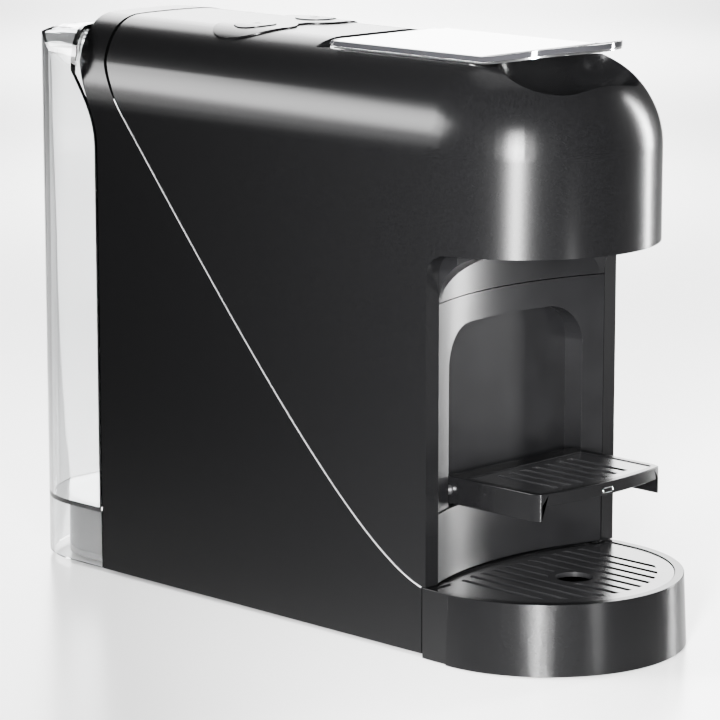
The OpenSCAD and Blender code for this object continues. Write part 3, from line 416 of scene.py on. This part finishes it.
@dataclass(frozen=True)
class Palette:
    """Every finish on the machine."""

    casing: Finish = Finish("satin_charcoal", (0.0008, 0.0008, 0.00085), (0.003, 0.003, 0.0032),
                            0.22, 0.006, grain_height=0.006, flakes=True, specular=0.07)
    # The casing's satin paint made a little darker for the lower shell: painted shade.
    casing_shaded_copy: Finish = Finish("satin_charcoal_painted_shade", (0.0007, 0.0007, 0.00075), (0.0026, 0.0026, 0.0028),
                                 0.23, 0.006, grain_height=0.006, flakes=True, specular=0.06)
    # Bright metal-grey bar along the lower seam: a painted highlight of its bevelled edge.
    seam: Finish = Finish("painted_seam_highlight", (0.42, 0.42, 0.43), (0.5, 0.5, 0.51), 0.3, 0.05, metallic=0.9)
    # Unlit black bar in the crown's seam groove: painted shade.
    gap: Finish = Finish("seam_shadow", (0.0004, 0.0004, 0.0004), (0.0008, 0.0008, 0.0008), 0.85, 0.03,
                         specular=0.0)
    niche: Finish = Finish("moulded_black", (0.001, 0.001, 0.0011), (0.0028, 0.0028, 0.003), 0.28, 0.015,
                           grain_height=0.008, specular=0.11)
    grille: Finish = Finish("grille_black", (0.003, 0.003, 0.0032), (0.006, 0.006, 0.0063), 0.24, 0.03,
                            specular=0.25)
    gloss: Finish = Finish("piano_black", (0.006, 0.006, 0.007), (0.01, 0.01, 0.011), 0.05, 0.015,
                           coat=1.0, coat_roughness=0.02, grain_height=0.002)
    chrome: Finish = Finish("bright_trim", (0.72, 0.72, 0.73), (0.8, 0.8, 0.81), 0.09, 0.03, metallic=1.0,
                            grain_height=0.003)
    steel: Finish = Finish("drawn_steel", (0.5, 0.5, 0.51), (0.62, 0.62, 0.63), 0.28, 0.06, metallic=1.0)
    rubber: Finish = Finish("soft_rubber", (0.018, 0.018, 0.018), (0.03, 0.03, 0.03), 0.75, 0.08,
                            grain_scale=900.0, grain_height=0.05)
    seal: Finish = Finish("red_silicone", (0.42, 0.09, 0.06), (0.5, 0.13, 0.09), 0.5, 0.06)
    inner: Finish = Finish("inner_grey", (0.16, 0.16, 0.17), (0.2, 0.2, 0.21), 0.45, 0.06,
                           grain_height=0.03)
    white: Finish = Finish("milky_plastic", (0.72, 0.72, 0.69), (0.8, 0.8, 0.78), 0.4, 0.06)
    hose: Finish = Finish("silicone_hose", (0.7, 0.7, 0.68), (0.78, 0.78, 0.75), 0.35, 0.05)
    winding: Finish = Finish("varnished_copper", (0.45, 0.17, 0.06), (0.58, 0.26, 0.1), 0.3, 0.06,
                             metallic=0.8, grain_scale=700.0)
    alloy: Finish = Finish("cast_alloy", (0.5, 0.5, 0.51), (0.62, 0.62, 0.63), 0.42, 0.08, metallic=1.0,
                           grain_scale=600.0, grain_height=0.06)
    brass: Finish = Finish("plain_brass", (0.6, 0.45, 0.2), (0.7, 0.55, 0.28), 0.32, 0.06, metallic=1.0)
    board: Finish = Finish("solder_mask", (0.01, 0.09, 0.035), (0.02, 0.13, 0.05), 0.25, 0.05, coat=0.5)
    clear: ClearFinish = ClearFinish("clear_tank")


PALETTE = Palette()


# ---------------------------------------------------------------- workshop


class Workshop:
    """Modelling steps that several pieces share, with their distances in metres and angles in degrees."""

    wire_doubles: float = 0.000002
    cad_doubles: float = 0.000004
    flat_angle: float = 0.6
    rounded_angle: float = 40.0
    wire_angle: float = 50.0

    @staticmethod
    def clear() -> None:
        """Leaves edit mode and deselects everything."""
        if bpy.context.object is not None and bpy.context.object.mode != "OBJECT":
            bpy.ops.object.mode_set(mode="OBJECT")
        bpy.ops.object.select_all(action="DESELECT")

    @classmethod
    def only(cls, piece: bpy.types.Object) -> None:
        """Makes one object the selected and active one.

        Args:
            piece: the object.
        """
        cls.clear()
        piece.select_set(True)
        bpy.context.view_layer.objects.active = piece

    @classmethod
    def take(cls, name: str) -> bpy.types.Object:
        """Names the primitive that was just added.

        Args:
            name: the piece's name.

        Returns:
            The active object.
        """
        piece = bpy.context.object
        piece.name = name
        piece.data.name = name
        return piece

    @classmethod
    def apply_place(cls, piece: bpy.types.Object) -> None:
        """Moves the object's place into its mesh."""
        cls.only(piece)
        bpy.ops.object.transform_apply(location=True, rotation=True, scale=True)

    @classmethod
    def leave(cls) -> None:
        """Goes back to object mode."""
        bpy.ops.object.mode_set(mode="OBJECT")

    @classmethod
    def modify(cls, piece: bpy.types.Object, kind: str, **values: object) -> None:
        """Adds a modifier and applies it.

        Args:
            piece: the object.
            kind: the modifier's type.
            **values: its settings.
        """
        cls.only(piece)
        modifier = piece.modifiers.new(kind.lower(), kind)
        for key, value in values.items():
            setattr(modifier, key, value)
        bpy.ops.object.modifier_apply(modifier=modifier.name)

    @classmethod
    def smooth(cls, piece: bpy.types.Object, degrees: float) -> None:
        """Smooths all edges flatter than an angle."""
        cls.only(piece)
        bpy.ops.object.shade_smooth_by_angle(angle=math.radians(degrees))

    @classmethod
    def outward(cls, piece: bpy.types.Object) -> None:
        """Merges doubles and turns all normals outwards.

        Args:
            piece: the object.
        """
        cls.only(piece)
        bpy.ops.object.mode_set(mode="EDIT")
        bpy.ops.mesh.select_all(action="SELECT")
        bpy.ops.mesh.remove_doubles(threshold=cls.wire_doubles)
        bpy.ops.mesh.normals_make_consistent(inside=False)
        cls.leave()

    @classmethod
    def rounded_copy(cls, node: str, name: str, width: float, segments: int = 3,
                     angle: float = 32.0) -> bpy.types.Object:
        """Copies a CAD node and rounds its sharp edges.

        Args:
            node: the CAD node.
            name: the new piece's name.
            width: the rounding's width.
            segments: faces across the rounding.
            angle: the least angle of an edge that is rounded, in degrees.

        Returns:
            The new piece.
        """
        source = frame["nodes"][node]
        piece = bpy.data.objects.new(name, source.data.copy())
        piece.data.name = name
        bpy.context.scene.collection.objects.link(piece)
        cls.only(piece)
        bpy.ops.object.mode_set(mode="EDIT")
        bpy.ops.mesh.select_all(action="SELECT")
        bpy.ops.mesh.remove_doubles(threshold=cls.cad_doubles)
        bpy.ops.mesh.dissolve_limited(angle_limit=math.radians(cls.flat_angle))
        cls.leave()
        cls.modify(piece, "BEVEL", width=width, segments=segments, limit_method="ANGLE",
                   angle_limit=math.radians(angle), use_clamp_overlap=True, harden_normals=False)
        cls.smooth(piece, cls.rounded_angle)
        cls.modify(piece, "WEIGHTED_NORMAL", keep_sharp=True, weight=80)
        return piece

    @classmethod
    def wire(cls, name: str, points: Iterable[Point], radius: float, rounds: int = 3) -> bpy.types.Object:
        """Draws a round bar along points, extruded from one corner and closed at its ends.

        Args:
            name: the piece's name.
            points: the places it passes.
            radius: half its thickness.
            rounds: how fine its round section is.

        Returns:
            The new piece, as a mesh.
        """
        route = [Vector(p) for p in points]
        cls.clear()
        bpy.ops.mesh.primitive_plane_add(size=radius, location=route[0])
        piece = cls.take(name)
        bpy.ops.object.mode_set(mode="EDIT")
        bpy.ops.mesh.select_all(action="SELECT")
        bpy.ops.mesh.merge(type="CENTER")
        for here, there in zip(route, route[1:]):
            bpy.ops.mesh.extrude_region_move(TRANSFORM_OT_translate={"value": there - here})
        cls.leave()
        cls.apply_place(piece)
        bpy.ops.object.convert(target="CURVE")
        piece = bpy.context.object
        piece.data.bevel_depth = radius
        piece.data.bevel_resolution = rounds
        piece.data.use_fill_caps = True
        bpy.ops.object.convert(target="MESH")
        piece = bpy.context.object
        cls.outward(piece)
        cls.smooth(piece, cls.wire_angle)
        return piece


def dress(piece: bpy.types.Object, finish: AnyFinish) -> None:
    """Gives a piece one finish all over.

    Args:
        piece: the object.
        finish: its finish.
    """
    piece.data.materials.clear()
    piece.data.materials.append(finish.material())
    for face in piece.data.polygons:
        face.material_index = 0


def place(piece: bpy.types.Object, body: str, slot: str, *nodes: str) -> bpy.types.Object:
    """Lets a piece ride on a body and hides the CAD nodes that it replaces.

    Args:
        piece: the object.
        body: the CAD body.
        slot: the record's material slot; not used.
        *nodes: CAD nodes that it replaces.

    Returns:
        The piece.
    """
    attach(piece, body)
    if nodes:
        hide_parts(*nodes)
    LOG.info("%s rides on %s", piece.name, body)
    return piece


def body_of_node(node: str) -> str:
    """Gives the CAD body that a node belongs to."""
    return frame["nodes"][node]["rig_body"]


def slot_of_node(node: str) -> str:
    """Gives the record's material slot of a node.

    Args:
        node: the CAD node.

    Returns:
        The slot's name.

    Raises:
        KeyError: if the record has no such node.
    """
    for part in frame["record"]["subparts"]:
        if part["node"] == node:
            return part["material_slot"]
    raise KeyError(node)


# ---------------------------------------------------------------- casing


def bezier(corners: Sequence[tuple[float, float]], share: float) -> tuple[float, float]:
    """A point on a cubic curve in the (y, z) plane.

    Args:
        corners: the four control points.
        share: how far along, 0 to 1.

    Returns:
        The point.
    """
    back = 1.0 - share
    weights = (back**3, 3 * back * back * share, 3 * back * share * share, share**3)
    y = sum(w * c[0] for w, c in zip(weights, corners))
    z = sum(w * c[1] for w, c in zip(weights, corners))
    return (y, z)


@dataclass
class Casing:
    """The two outer mouldings, with a bright bar as painted highlight along the lower seam and a dark bar as
    painted shade in the crown groove.
    """

    edge: float = 0.6 * MM
    bead: float = 0.36 * MM
    bead_in: float = 0.14 * MM
    bead_back: float = 0.55 * MM
    bead_down: float = 0.25 * MM
    # Height where the bright bar of painted highlight on the seam ends.
    highlight_top: float = 0.219
    groove: float = 1.9 * MM
    groove_back: float = 0.5 * MM
    # Height from which the dark bar of painted shade runs over the crown.
    shade_foot: float = 0.208
    sink: float = 0.985
    sink_less: float = 0.135
    sink_rate: float = 4.0
    bow: float = 0.090
    seam_bow_end: float = 0.125
    seam_start: tuple[float, float] = (-0.093, 0.0313)
    seam_end: tuple[float, float] = (0.1255, 0.252)
    seam_pulls: tuple[tuple[float, float], ...] = ((0.23, 0.06), (0.726, 0.696))
    side_steps: int = 160
    crown_steps: int = 40

    def seam_points(self) -> list[Point]:
        """Places along the seam from the tray up to the middle of the crown.

        Returns:
            Points on the right side's surface.
        """
        start, end = self.seam_start, self.seam_end
        run = (end[0] - start[0], end[1] - start[1])
        pulls = [(start[0] + back * run[0], start[1] + up * run[1]) for back, up in self.seam_pulls]
        corners = (start, *pulls, end)
        points: list[Point] = []
        centre = self.seam_bow_end - self.bow
        for step in range(self.side_steps + 1):
            y, z = bezier(corners, step / self.side_steps)
            if z > LAYOUT.crown:
                break
            x = LAYOUT.side_x(z)
            if y > centre + math.sqrt(max(self.bow**2 - x * x, 0.0)):
                break
            points.append((x, y, z))
        last = points[-1][0]
        for step in range(1, self.crown_steps + 1):
            x = last * (1 - step / self.crown_steps)
            points.append((x, centre + math.sqrt(self.bow**2 - x * x), LAYOUT.crown_z(x)))
        return points

    def paint_seam_light_and_shade(self) -> None:
        """Lays a bright bar low on the seam as a painted highlight of its bevel, and a dark bar in the crown
        groove as painted shade.
        """
        points = self.seam_points()
        low = [p for p in points if p[2] < self.highlight_top]
        high = [p for p in points if p[2] > self.shade_foot]
        for side, name in ((1.0, "right"), (-1.0, "left")):
            # Lower seam: a bright bar as a painted highlight of the bevel.
            highlight_points = [(side * (x - self.bead_in), y + self.bead_back, z - self.bead_down) for x, y, z in low]
            line = Workshop.wire("seam_highlight_bar_" + name, highlight_points, self.bead, 2)
            dress(line, PALETTE.seam)
            place(line, "machine", "casing")
            # Crown groove: a dark bar as painted shade.
            dark = [self.sunk((side * x, y + self.groove_back, z), step / len(high))
                    for step, (x, y, z) in enumerate(high)]
            groove = Workshop.wire("seam_shade_bar_" + name, dark, self.groove, 3)
            dress(groove, PALETTE.gap)
            place(groove, "machine", "casing")

    def sunk(self, point: Point, share: float) -> Point:
        """Moves a point of the crown inwards, so that a dark bar there shows as a narrow strip of painted
        shade in the groove.

        Args:
            point: a place on the casing's surface.
            share: how far along the groove it is, 0 to 1.

        Returns:
            The place inside the surface.
        """
        x, y, z = point
        middle = LAYOUT.half_width - LAYOUT.shoulder
        sideways = x - math.copysign(min(abs(x), middle), x)
        out = Vector((sideways, 0.0, z - (LAYOUT.crown - LAYOUT.shoulder)))
        out.normalize()
        depth = self.groove * (self.sink - self.sink_less * min(1.0, self.sink_rate * share))
        return (x - out.x * depth, y, z - out.z * depth)

    def build(self) -> None:
        """Rounds the edges of both mouldings, with a darker copy of the paint on the lower one as painted
        shade, and lays the painted highlight and shade bars on the seam.
        """
        for node, finish in (("upper_shell", PALETTE.casing), ("lower_shell", PALETTE.casing_shaded_copy)):
            piece = Workshop.rounded_copy(node, node + "_moulding", self.edge)
            dress(piece, finish)
            place(piece, body_of_node(node), slot_of_node(node), node)
        self.paint_seam_light_and_shade()


@dataclass
class Rounded:
    """CAD nodes whose shape is kept and whose edges are rounded."""

    rows: tuple[tuple[str, AnyFinish, float], ...] = (
        ("rear_panel", PALETTE.niche, 0.4 * MM),
        ("brew_hood", PALETTE.niche, 0.4 * MM),
        ("column_panel", PALETTE.niche, 0.6 * MM),
        ("spout", PALETTE.niche, 0.4 * MM),
        ("drip_tray", PALETTE.casing, 0.6 * MM),
        ("drip_grille", PALETTE.grille, 0.4 * MM),
        ("capsule_bin", PALETTE.niche, 0.5 * MM),
        ("cup_shelf", PALETTE.casing, 0.8 * MM),
        ("shelf_grille", PALETTE.grille, 0.4 * MM),
        ("lever_cover", PALETTE.gloss, 0.7 * MM),
        ("lever_frame", PALETTE.chrome, 0.25 * MM),
        ("lever_deck", PALETTE.niche, 0.3 * MM),
        ("button_pad", PALETTE.casing, 0.25 * MM),
        ("button_short", PALETTE.casing, 0.4 * MM),
        ("button_long", PALETTE.casing, 0.4 * MM),
        ("tank", PALETTE.clear, 0.5 * MM),
        ("tank_lid", PALETTE.clear, 0.4 * MM),
        ("tank_plinth", PALETTE.gloss, 0.8 * MM),
        ("feet", PALETTE.rubber, 0.5 * MM),
        ("cord_inlet", PALETTE.rubber, 0.5 * MM),
    )

    def build(self) -> None:
        """Makes each rounded piece."""
        for node, finish, width in self.rows:
            piece = Workshop.rounded_copy(node, node + "_piece", width)
            dress(piece, finish)
            place(piece, body_of_node(node), slot_of_node(node), node)


@dataclass(frozen=True)
class Coil:
    """One wound spring in place of a plain sleeve."""

    node: str
    middle: Point
    along: Axis
    radius: float
    length: float
    turns: int
    wire: float
    joint: str = ""
    steps_per_turn: int = 14
    end_room: float = 1.05
    closing: float = 0.06
    shortened: float = 0.874

    def route(self) -> list[Point]:
        """Places along the wire, with closed end turns.

        Returns:
            The points.
        """
        steps = self.turns * self.steps_per_turn
        start = Vector(self.middle)
        line = Vector(self.along.value)
        across = Vector(Axis.X.value)
        up = line.cross(across)
        rise = self.length - 2 * self.end_room * self.wire
        points = []
        for step in range(steps + 1):
            share = step / steps
            eased = share - self.closing * math.sin(2 * math.pi * share)
            angle = 2 * math.pi * self.turns * share
            centre = start + line * (self.end_room * self.wire + rise * eased)
            out = across * math.cos(angle) + up * math.sin(angle)
            points.append(tuple(centre + out * self.radius))
        return points

    def build(self) -> None:
        """Winds the spring, and gives it its own mesh when it has a joint."""
        piece = Workshop.wire(self.node + "_wound", self.route(), self.wire, 2)
        dress(piece, PALETTE.steel)
        place(piece, body_of_node(self.node), slot_of_node(self.node), self.node)
        if self.joint:
            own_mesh(piece)


@dataclass(frozen=True)
class Hose:
    """One soft hose with rounded bends."""

    node: str
    corners: tuple[Point, ...]
    radius: float
    bend: float = 7.0 * MM
    bend_steps: int = 8
    end_share: float = 0.98
    middle_share: float = 0.48

    def room(self, here: Vector, there: Vector, is_end: bool) -> float:
        """Gives the most of a straight run that a bend may take up.

        Args:
            here: the bend's corner.
            there: the run's other end.
            is_end: whether the run has no bend at its other end.

        Returns:
            The length in metres.
        """
        share = self.end_share if is_end else self.middle_share
        return share * (there - here).length

    def route(self) -> list[Point]:
        """Rounds the corners of the hose's straight runs.

        Returns:
            The points.
        """
        spots = [Vector(c) for c in self.corners]
        points = [tuple(spots[0])]
        for before, here, after in zip(spots, spots[1:], spots[2:]):
            cut = min(self.bend, self.room(here, before, before == spots[0]),
                      self.room(here, after, after == spots[-1]))
            enter = here + (before - here).normalized() * cut
            leave = here + (after - here).normalized() * cut
            for step in range(self.bend_steps + 1):
                share = step / self.bend_steps
                back = 1.0 - share
                points.append(tuple(enter * back * back + here * 2 * back * share + leave * share * share))
        points.append(tuple(spots[-1]))
        return points

    def build(self) -> None:
        """Draws the hose."""
        piece = Workshop.wire(self.node + "_smooth", self.route(), self.radius, 5)
        dress(piece, PALETTE.hose)
        place(piece, body_of_node(self.node), slot_of_node(self.node), self.node)


@dataclass
class WaterWorks:
    """Wound springs and soft hoses inside the casing."""

    coils: tuple[Coil, ...] = (
        Coil("spring_short", (-0.0185, 0.0476, 0.23615), Axis.Z, 3.85 * MM, 11.9 * MM, 6, 0.33 * MM,
             "button_short_press"),
        Coil("spring_long", (0.0185, 0.0476, 0.23615), Axis.Z, 3.85 * MM, 11.9 * MM, 6, 0.33 * MM,
             "button_long_press"),
        Coil("pump_spring", (0.016, 0.0601, 0.046), Axis.Y, 5.6 * MM, 19.8 * MM, 9, 0.38 * MM),
        Coil("tank_valve_spring", (0.0, 0.1125, 0.0442), Axis.Y, 2.65 * MM, 8.5 * MM, 7, 0.28 * MM),
    )
    hoses: tuple[Hose, ...] = (
        Hose("suction_hose", ((0.0, 0.08295, 0.0442), (0.0, 0.077, 0.0442), (-0.01695, 0.077, 0.0442)),
             2.8 * MM),
        Hose("feed_hose", ((-0.034, 0.05995, 0.0442), (-0.034, 0.005, 0.0442), (0.016, 0.005, 0.0442),
                           (0.016, 0.00995, 0.0442)), 2.8 * MM),
        Hose("pressure_hose", ((0.016, 0.09305, 0.046), (0.016, 0.097, 0.046), (0.016, 0.097, 0.1583),
                               (0.0, 0.097, 0.1583), (0.0, 0.07765, 0.1583)), 2.4 * MM),
        Hose("brew_hose", ((0.0, 0.00955, 0.1583), (0.0, 0.0046, 0.1583), (0.0, 0.0046, 0.2043),
                           (0.0, -0.02355, 0.2043)), 2.4 * MM),
    )

    def build(self) -> None:
        """Winds the springs and draws the hoses."""
        for part in (*self.coils, *self.hoses):
            part.build()


@dataclass
class Marks:
    """Small raised marks: an outline on the shelf's front and a ring on each button."""

    thickness: float = 0.13 * MM
    shelf_middle: Point = (0.0, -0.14258, 0.0710)
    shelf_half: float = 2.1 * MM
    shelf_radius: float = 1.0 * MM
    shelf_steps: int = 32
    ring_y: float = 0.0476
    ring_z: float = 0.25128
    ring_steps: int = 40
    rings: tuple[tuple[str, float, float], ...] = (
        ("button_short", -0.0175, 1.6 * MM),
        ("button_long", 0.0175, 2.4 * MM),
    )

    def shelf_mark(self) -> None:
        """Draws the small round-ended outline on the shelf's skirt."""
        middle, radius = Vector(self.shelf_middle), self.shelf_radius
        points = []
        for step in range(self.shelf_steps + 1):
            angle = 2 * math.pi * step / self.shelf_steps
            side = self.shelf_half if math.cos(angle) >= 0 else -self.shelf_half
            out = Vector((side + radius * math.cos(angle), 0.0, radius * math.sin(angle)))
            points.append(tuple(middle + out))
        piece = Workshop.wire("shelf_mark", points, self.thickness, 1)
        dress(piece, PALETTE.chrome)
        place(piece, "cup_shelf", slot_of_node("cup_shelf"))

    def button_ring(self, node: str, x: float, radius: float) -> None:
        """Lays a thin ring on a button's cap.

        Args:
            node: the button's CAD node.
            x: the ring's middle, to the right.
            radius: the ring's radius.
        """
        points = []
        for step in range(self.ring_steps + 1):
            angle = 2 * math.pi * step / self.ring_steps
            points.append((x + radius * math.cos(angle), self.ring_y + radius * math.sin(angle), self.ring_z))
        piece = Workshop.wire(node + "_mark", points, self.thickness, 1)
        dress(piece, PALETTE.chrome)
        place(piece, node, slot_of_node(node))

    def build(self) -> None:
        """Adds every mark."""
        self.shelf_mark()
        for node, x, radius in self.rings:
            self.button_ring(node, x, radius)


@dataclass
class Plain:
    """Inner CAD nodes that only get a better finish."""

    rows: tuple[tuple[str, AnyFinish], ...] = (
        ("base_plate", PALETTE.niche), ("base_screws", PALETTE.steel), ("outlet_funnel", PALETTE.inner),
        ("lever_pin", PALETTE.steel), ("brew_frame", PALETTE.inner), ("brew_chamber", PALETTE.inner),
        ("chamber_seal", PALETTE.seal), ("injector", PALETTE.inner), ("capsule_chute", PALETTE.inner),
        ("button_board", PALETTE.board), ("tank_lid_pins", PALETTE.steel), ("tank_valve", PALETTE.niche),
        ("water_socket", PALETTE.inner), ("socket_seal", PALETTE.seal), ("shelf_pins", PALETTE.steel),
        ("chassis", PALETTE.inner),
        ("pump_body", PALETTE.white), ("pump_plunger", PALETTE.steel),
        ("pump_coil", PALETTE.winding), ("pump_mounts", PALETTE.rubber), ("flow_meter", PALETTE.white),
        ("flow_rotor", PALETTE.white), ("boiler", PALETTE.alloy), ("thermostats", PALETTE.brass),
        ("control_board", PALETTE.board),
    )

    def build(self) -> None:
        """Dresses each node."""
        for node, finish in self.rows:
            dress(frame["nodes"][node], finish)
            LOG.info("%s keeps its CAD shape", node)


# ---------------------------------------------------------------- studio


@dataclass(frozen=True)
class Lamp:
    """One soft studio light."""

    name: str
    place: Point
    target: Point
    size: tuple[float, float]
    power: float
    spread: float

    def build(self) -> None:
        """Adds the area light."""
        data = bpy.data.lights.new(self.name, "AREA")
        data.shape = "RECTANGLE"
        data.size, data.size_y = self.size
        data.energy = self.power
        data.spread = math.radians(self.spread)
        lamp = bpy.data.objects.new(self.name, data)
        bpy.context.scene.collection.objects.link(lamp)
        lamp.location = self.place
        away = Vector(self.place) - Vector(self.target)
        lamp.rotation_mode = "QUATERNION"
        lamp.rotation_quaternion = away.to_track_quat("Z", "Y")


@dataclass
class Studio:
    """Camera, floor and lights."""

    azimuth: float = -45.22
    pitch: float = 11.3
    eye: Point = (-1.0991, -1.0890, 0.4147)
    lens: float = 179.92
    sensor: float = 36.0
    clip: tuple[float, float] = (0.05, 30.0)
    floor_size: float = 6.0
    floor_colour: Colour = (0.92, 0.92, 0.92)
    floor_roughness: float = 0.25
    room_strength: float = 0.18
    lamps: tuple[Lamp, ...] = (
        Lamp("back_wall", (1.75, 1.75, 1.10), (0.0, 0.0, 0.25), (1.5, 1.6), 24.0, spread=80.0),
        Lamp("floor_near", (0.85, 0.85, 1.0), (0.9, 0.9, 0.0), (0.5, 0.5), 9.0, spread=50.0),
        Lamp("floor_mid", (1.5, 1.5, 1.1), (1.5, 1.5, 0.0), (0.8, 0.8), 32.0, spread=60.0),
        Lamp("floor_far", (2.3, 2.3, 1.2), (2.3, 2.3, 0.0), (1.0, 1.0), 60.0, spread=70.0),
        Lamp("overhead", (0.2, 0.2, 1.6), (0.1, 0.1, 0.0), (0.9, 0.9), 5.0, spread=120.0),
        Lamp("left_bank", (-0.65, 0.60, 0.62), (-0.05, 0.0, 0.24), (0.9, 0.30), 7.0, spread=50.0),
        Lamp("left_fill", (-0.67, 0.62, 0.40), (-0.05, 0.0, 0.22), (0.8, 0.25), 0.9, spread=60.0),
        Lamp("near_strip", (-0.39, -0.41, 0.25), (0.0, -0.092, 0.2), (0.06, 0.5), 10.0, spread=50.0),
        Lamp("right_strip", (0.52, -0.25, 0.25), (0.0, -0.092, 0.2), (0.04, 0.5), 2.4, spread=50.0),
        Lamp("low_front", (-0.06, -0.55, 0.05), (0.0, -0.15, 0.02), (0.05, 0.08), 0.25, spread=70.0),
    )

    def camera(self) -> None:
        """Sets the camera at its place and angle."""
        data = bpy.data.cameras.new("camera")
        data.sensor_width = self.sensor
        data.lens = self.lens
        data.clip_start, data.clip_end = self.clip
        camera = bpy.data.objects.new("camera", data)
        bpy.context.scene.collection.objects.link(camera)
        camera.location = self.eye
        turn, tilt = math.radians(self.azimuth), math.radians(self.pitch)
        level = math.cos(tilt)
        ahead = Vector((-math.sin(turn) * level, math.cos(turn) * level, -math.sin(tilt)))
        camera.rotation_mode = "QUATERNION"
        camera.rotation_quaternion = ahead.to_track_quat("-Z", "Y")
        bpy.context.scene.camera = camera

    def floor(self) -> None:
        """Lays a pale, slightly glossy floor."""
        Workshop.clear()
        bpy.ops.mesh.primitive_plane_add(size=self.floor_size, location=(0.0, 0.0, 0.0))
        floor = Workshop.take("floor")
        made = bpy.data.materials.new("pale_floor")
        made.use_nodes = True
        shader = made.node_tree.nodes["Principled BSDF"]
        shader.inputs["Base Color"].default_value = (*self.floor_colour, 1.0)
        shader.inputs["Roughness"].default_value = self.floor_roughness
        floor.data.materials.append(made)

    def world(self) -> None:
        """Fills the room with even pale light."""
        world = bpy.data.worlds.new("room")
        bpy.context.scene.world = world
        world.use_nodes = True
        background = world.node_tree.nodes["Background"]
        background.inputs["Color"].default_value = (1.0, 1.0, 1.0, 1.0)
        background.inputs["Strength"].default_value = self.room_strength

    def build(self) -> None:
        """Sets up everything round the machine."""
        self.camera()
        self.floor()
        self.world()
        for lamp in self.lamps:
            lamp.build()


def main() -> None:
    """Builds the machine and its studio."""
    logging.basicConfig(level=logging.INFO, format="%(message)s")
    Studio().build()
    for part in (Casing(), Rounded(), WaterWorks(), Marks(), Plain()):
        part.build()


if __name__ == "__main__":
    main()
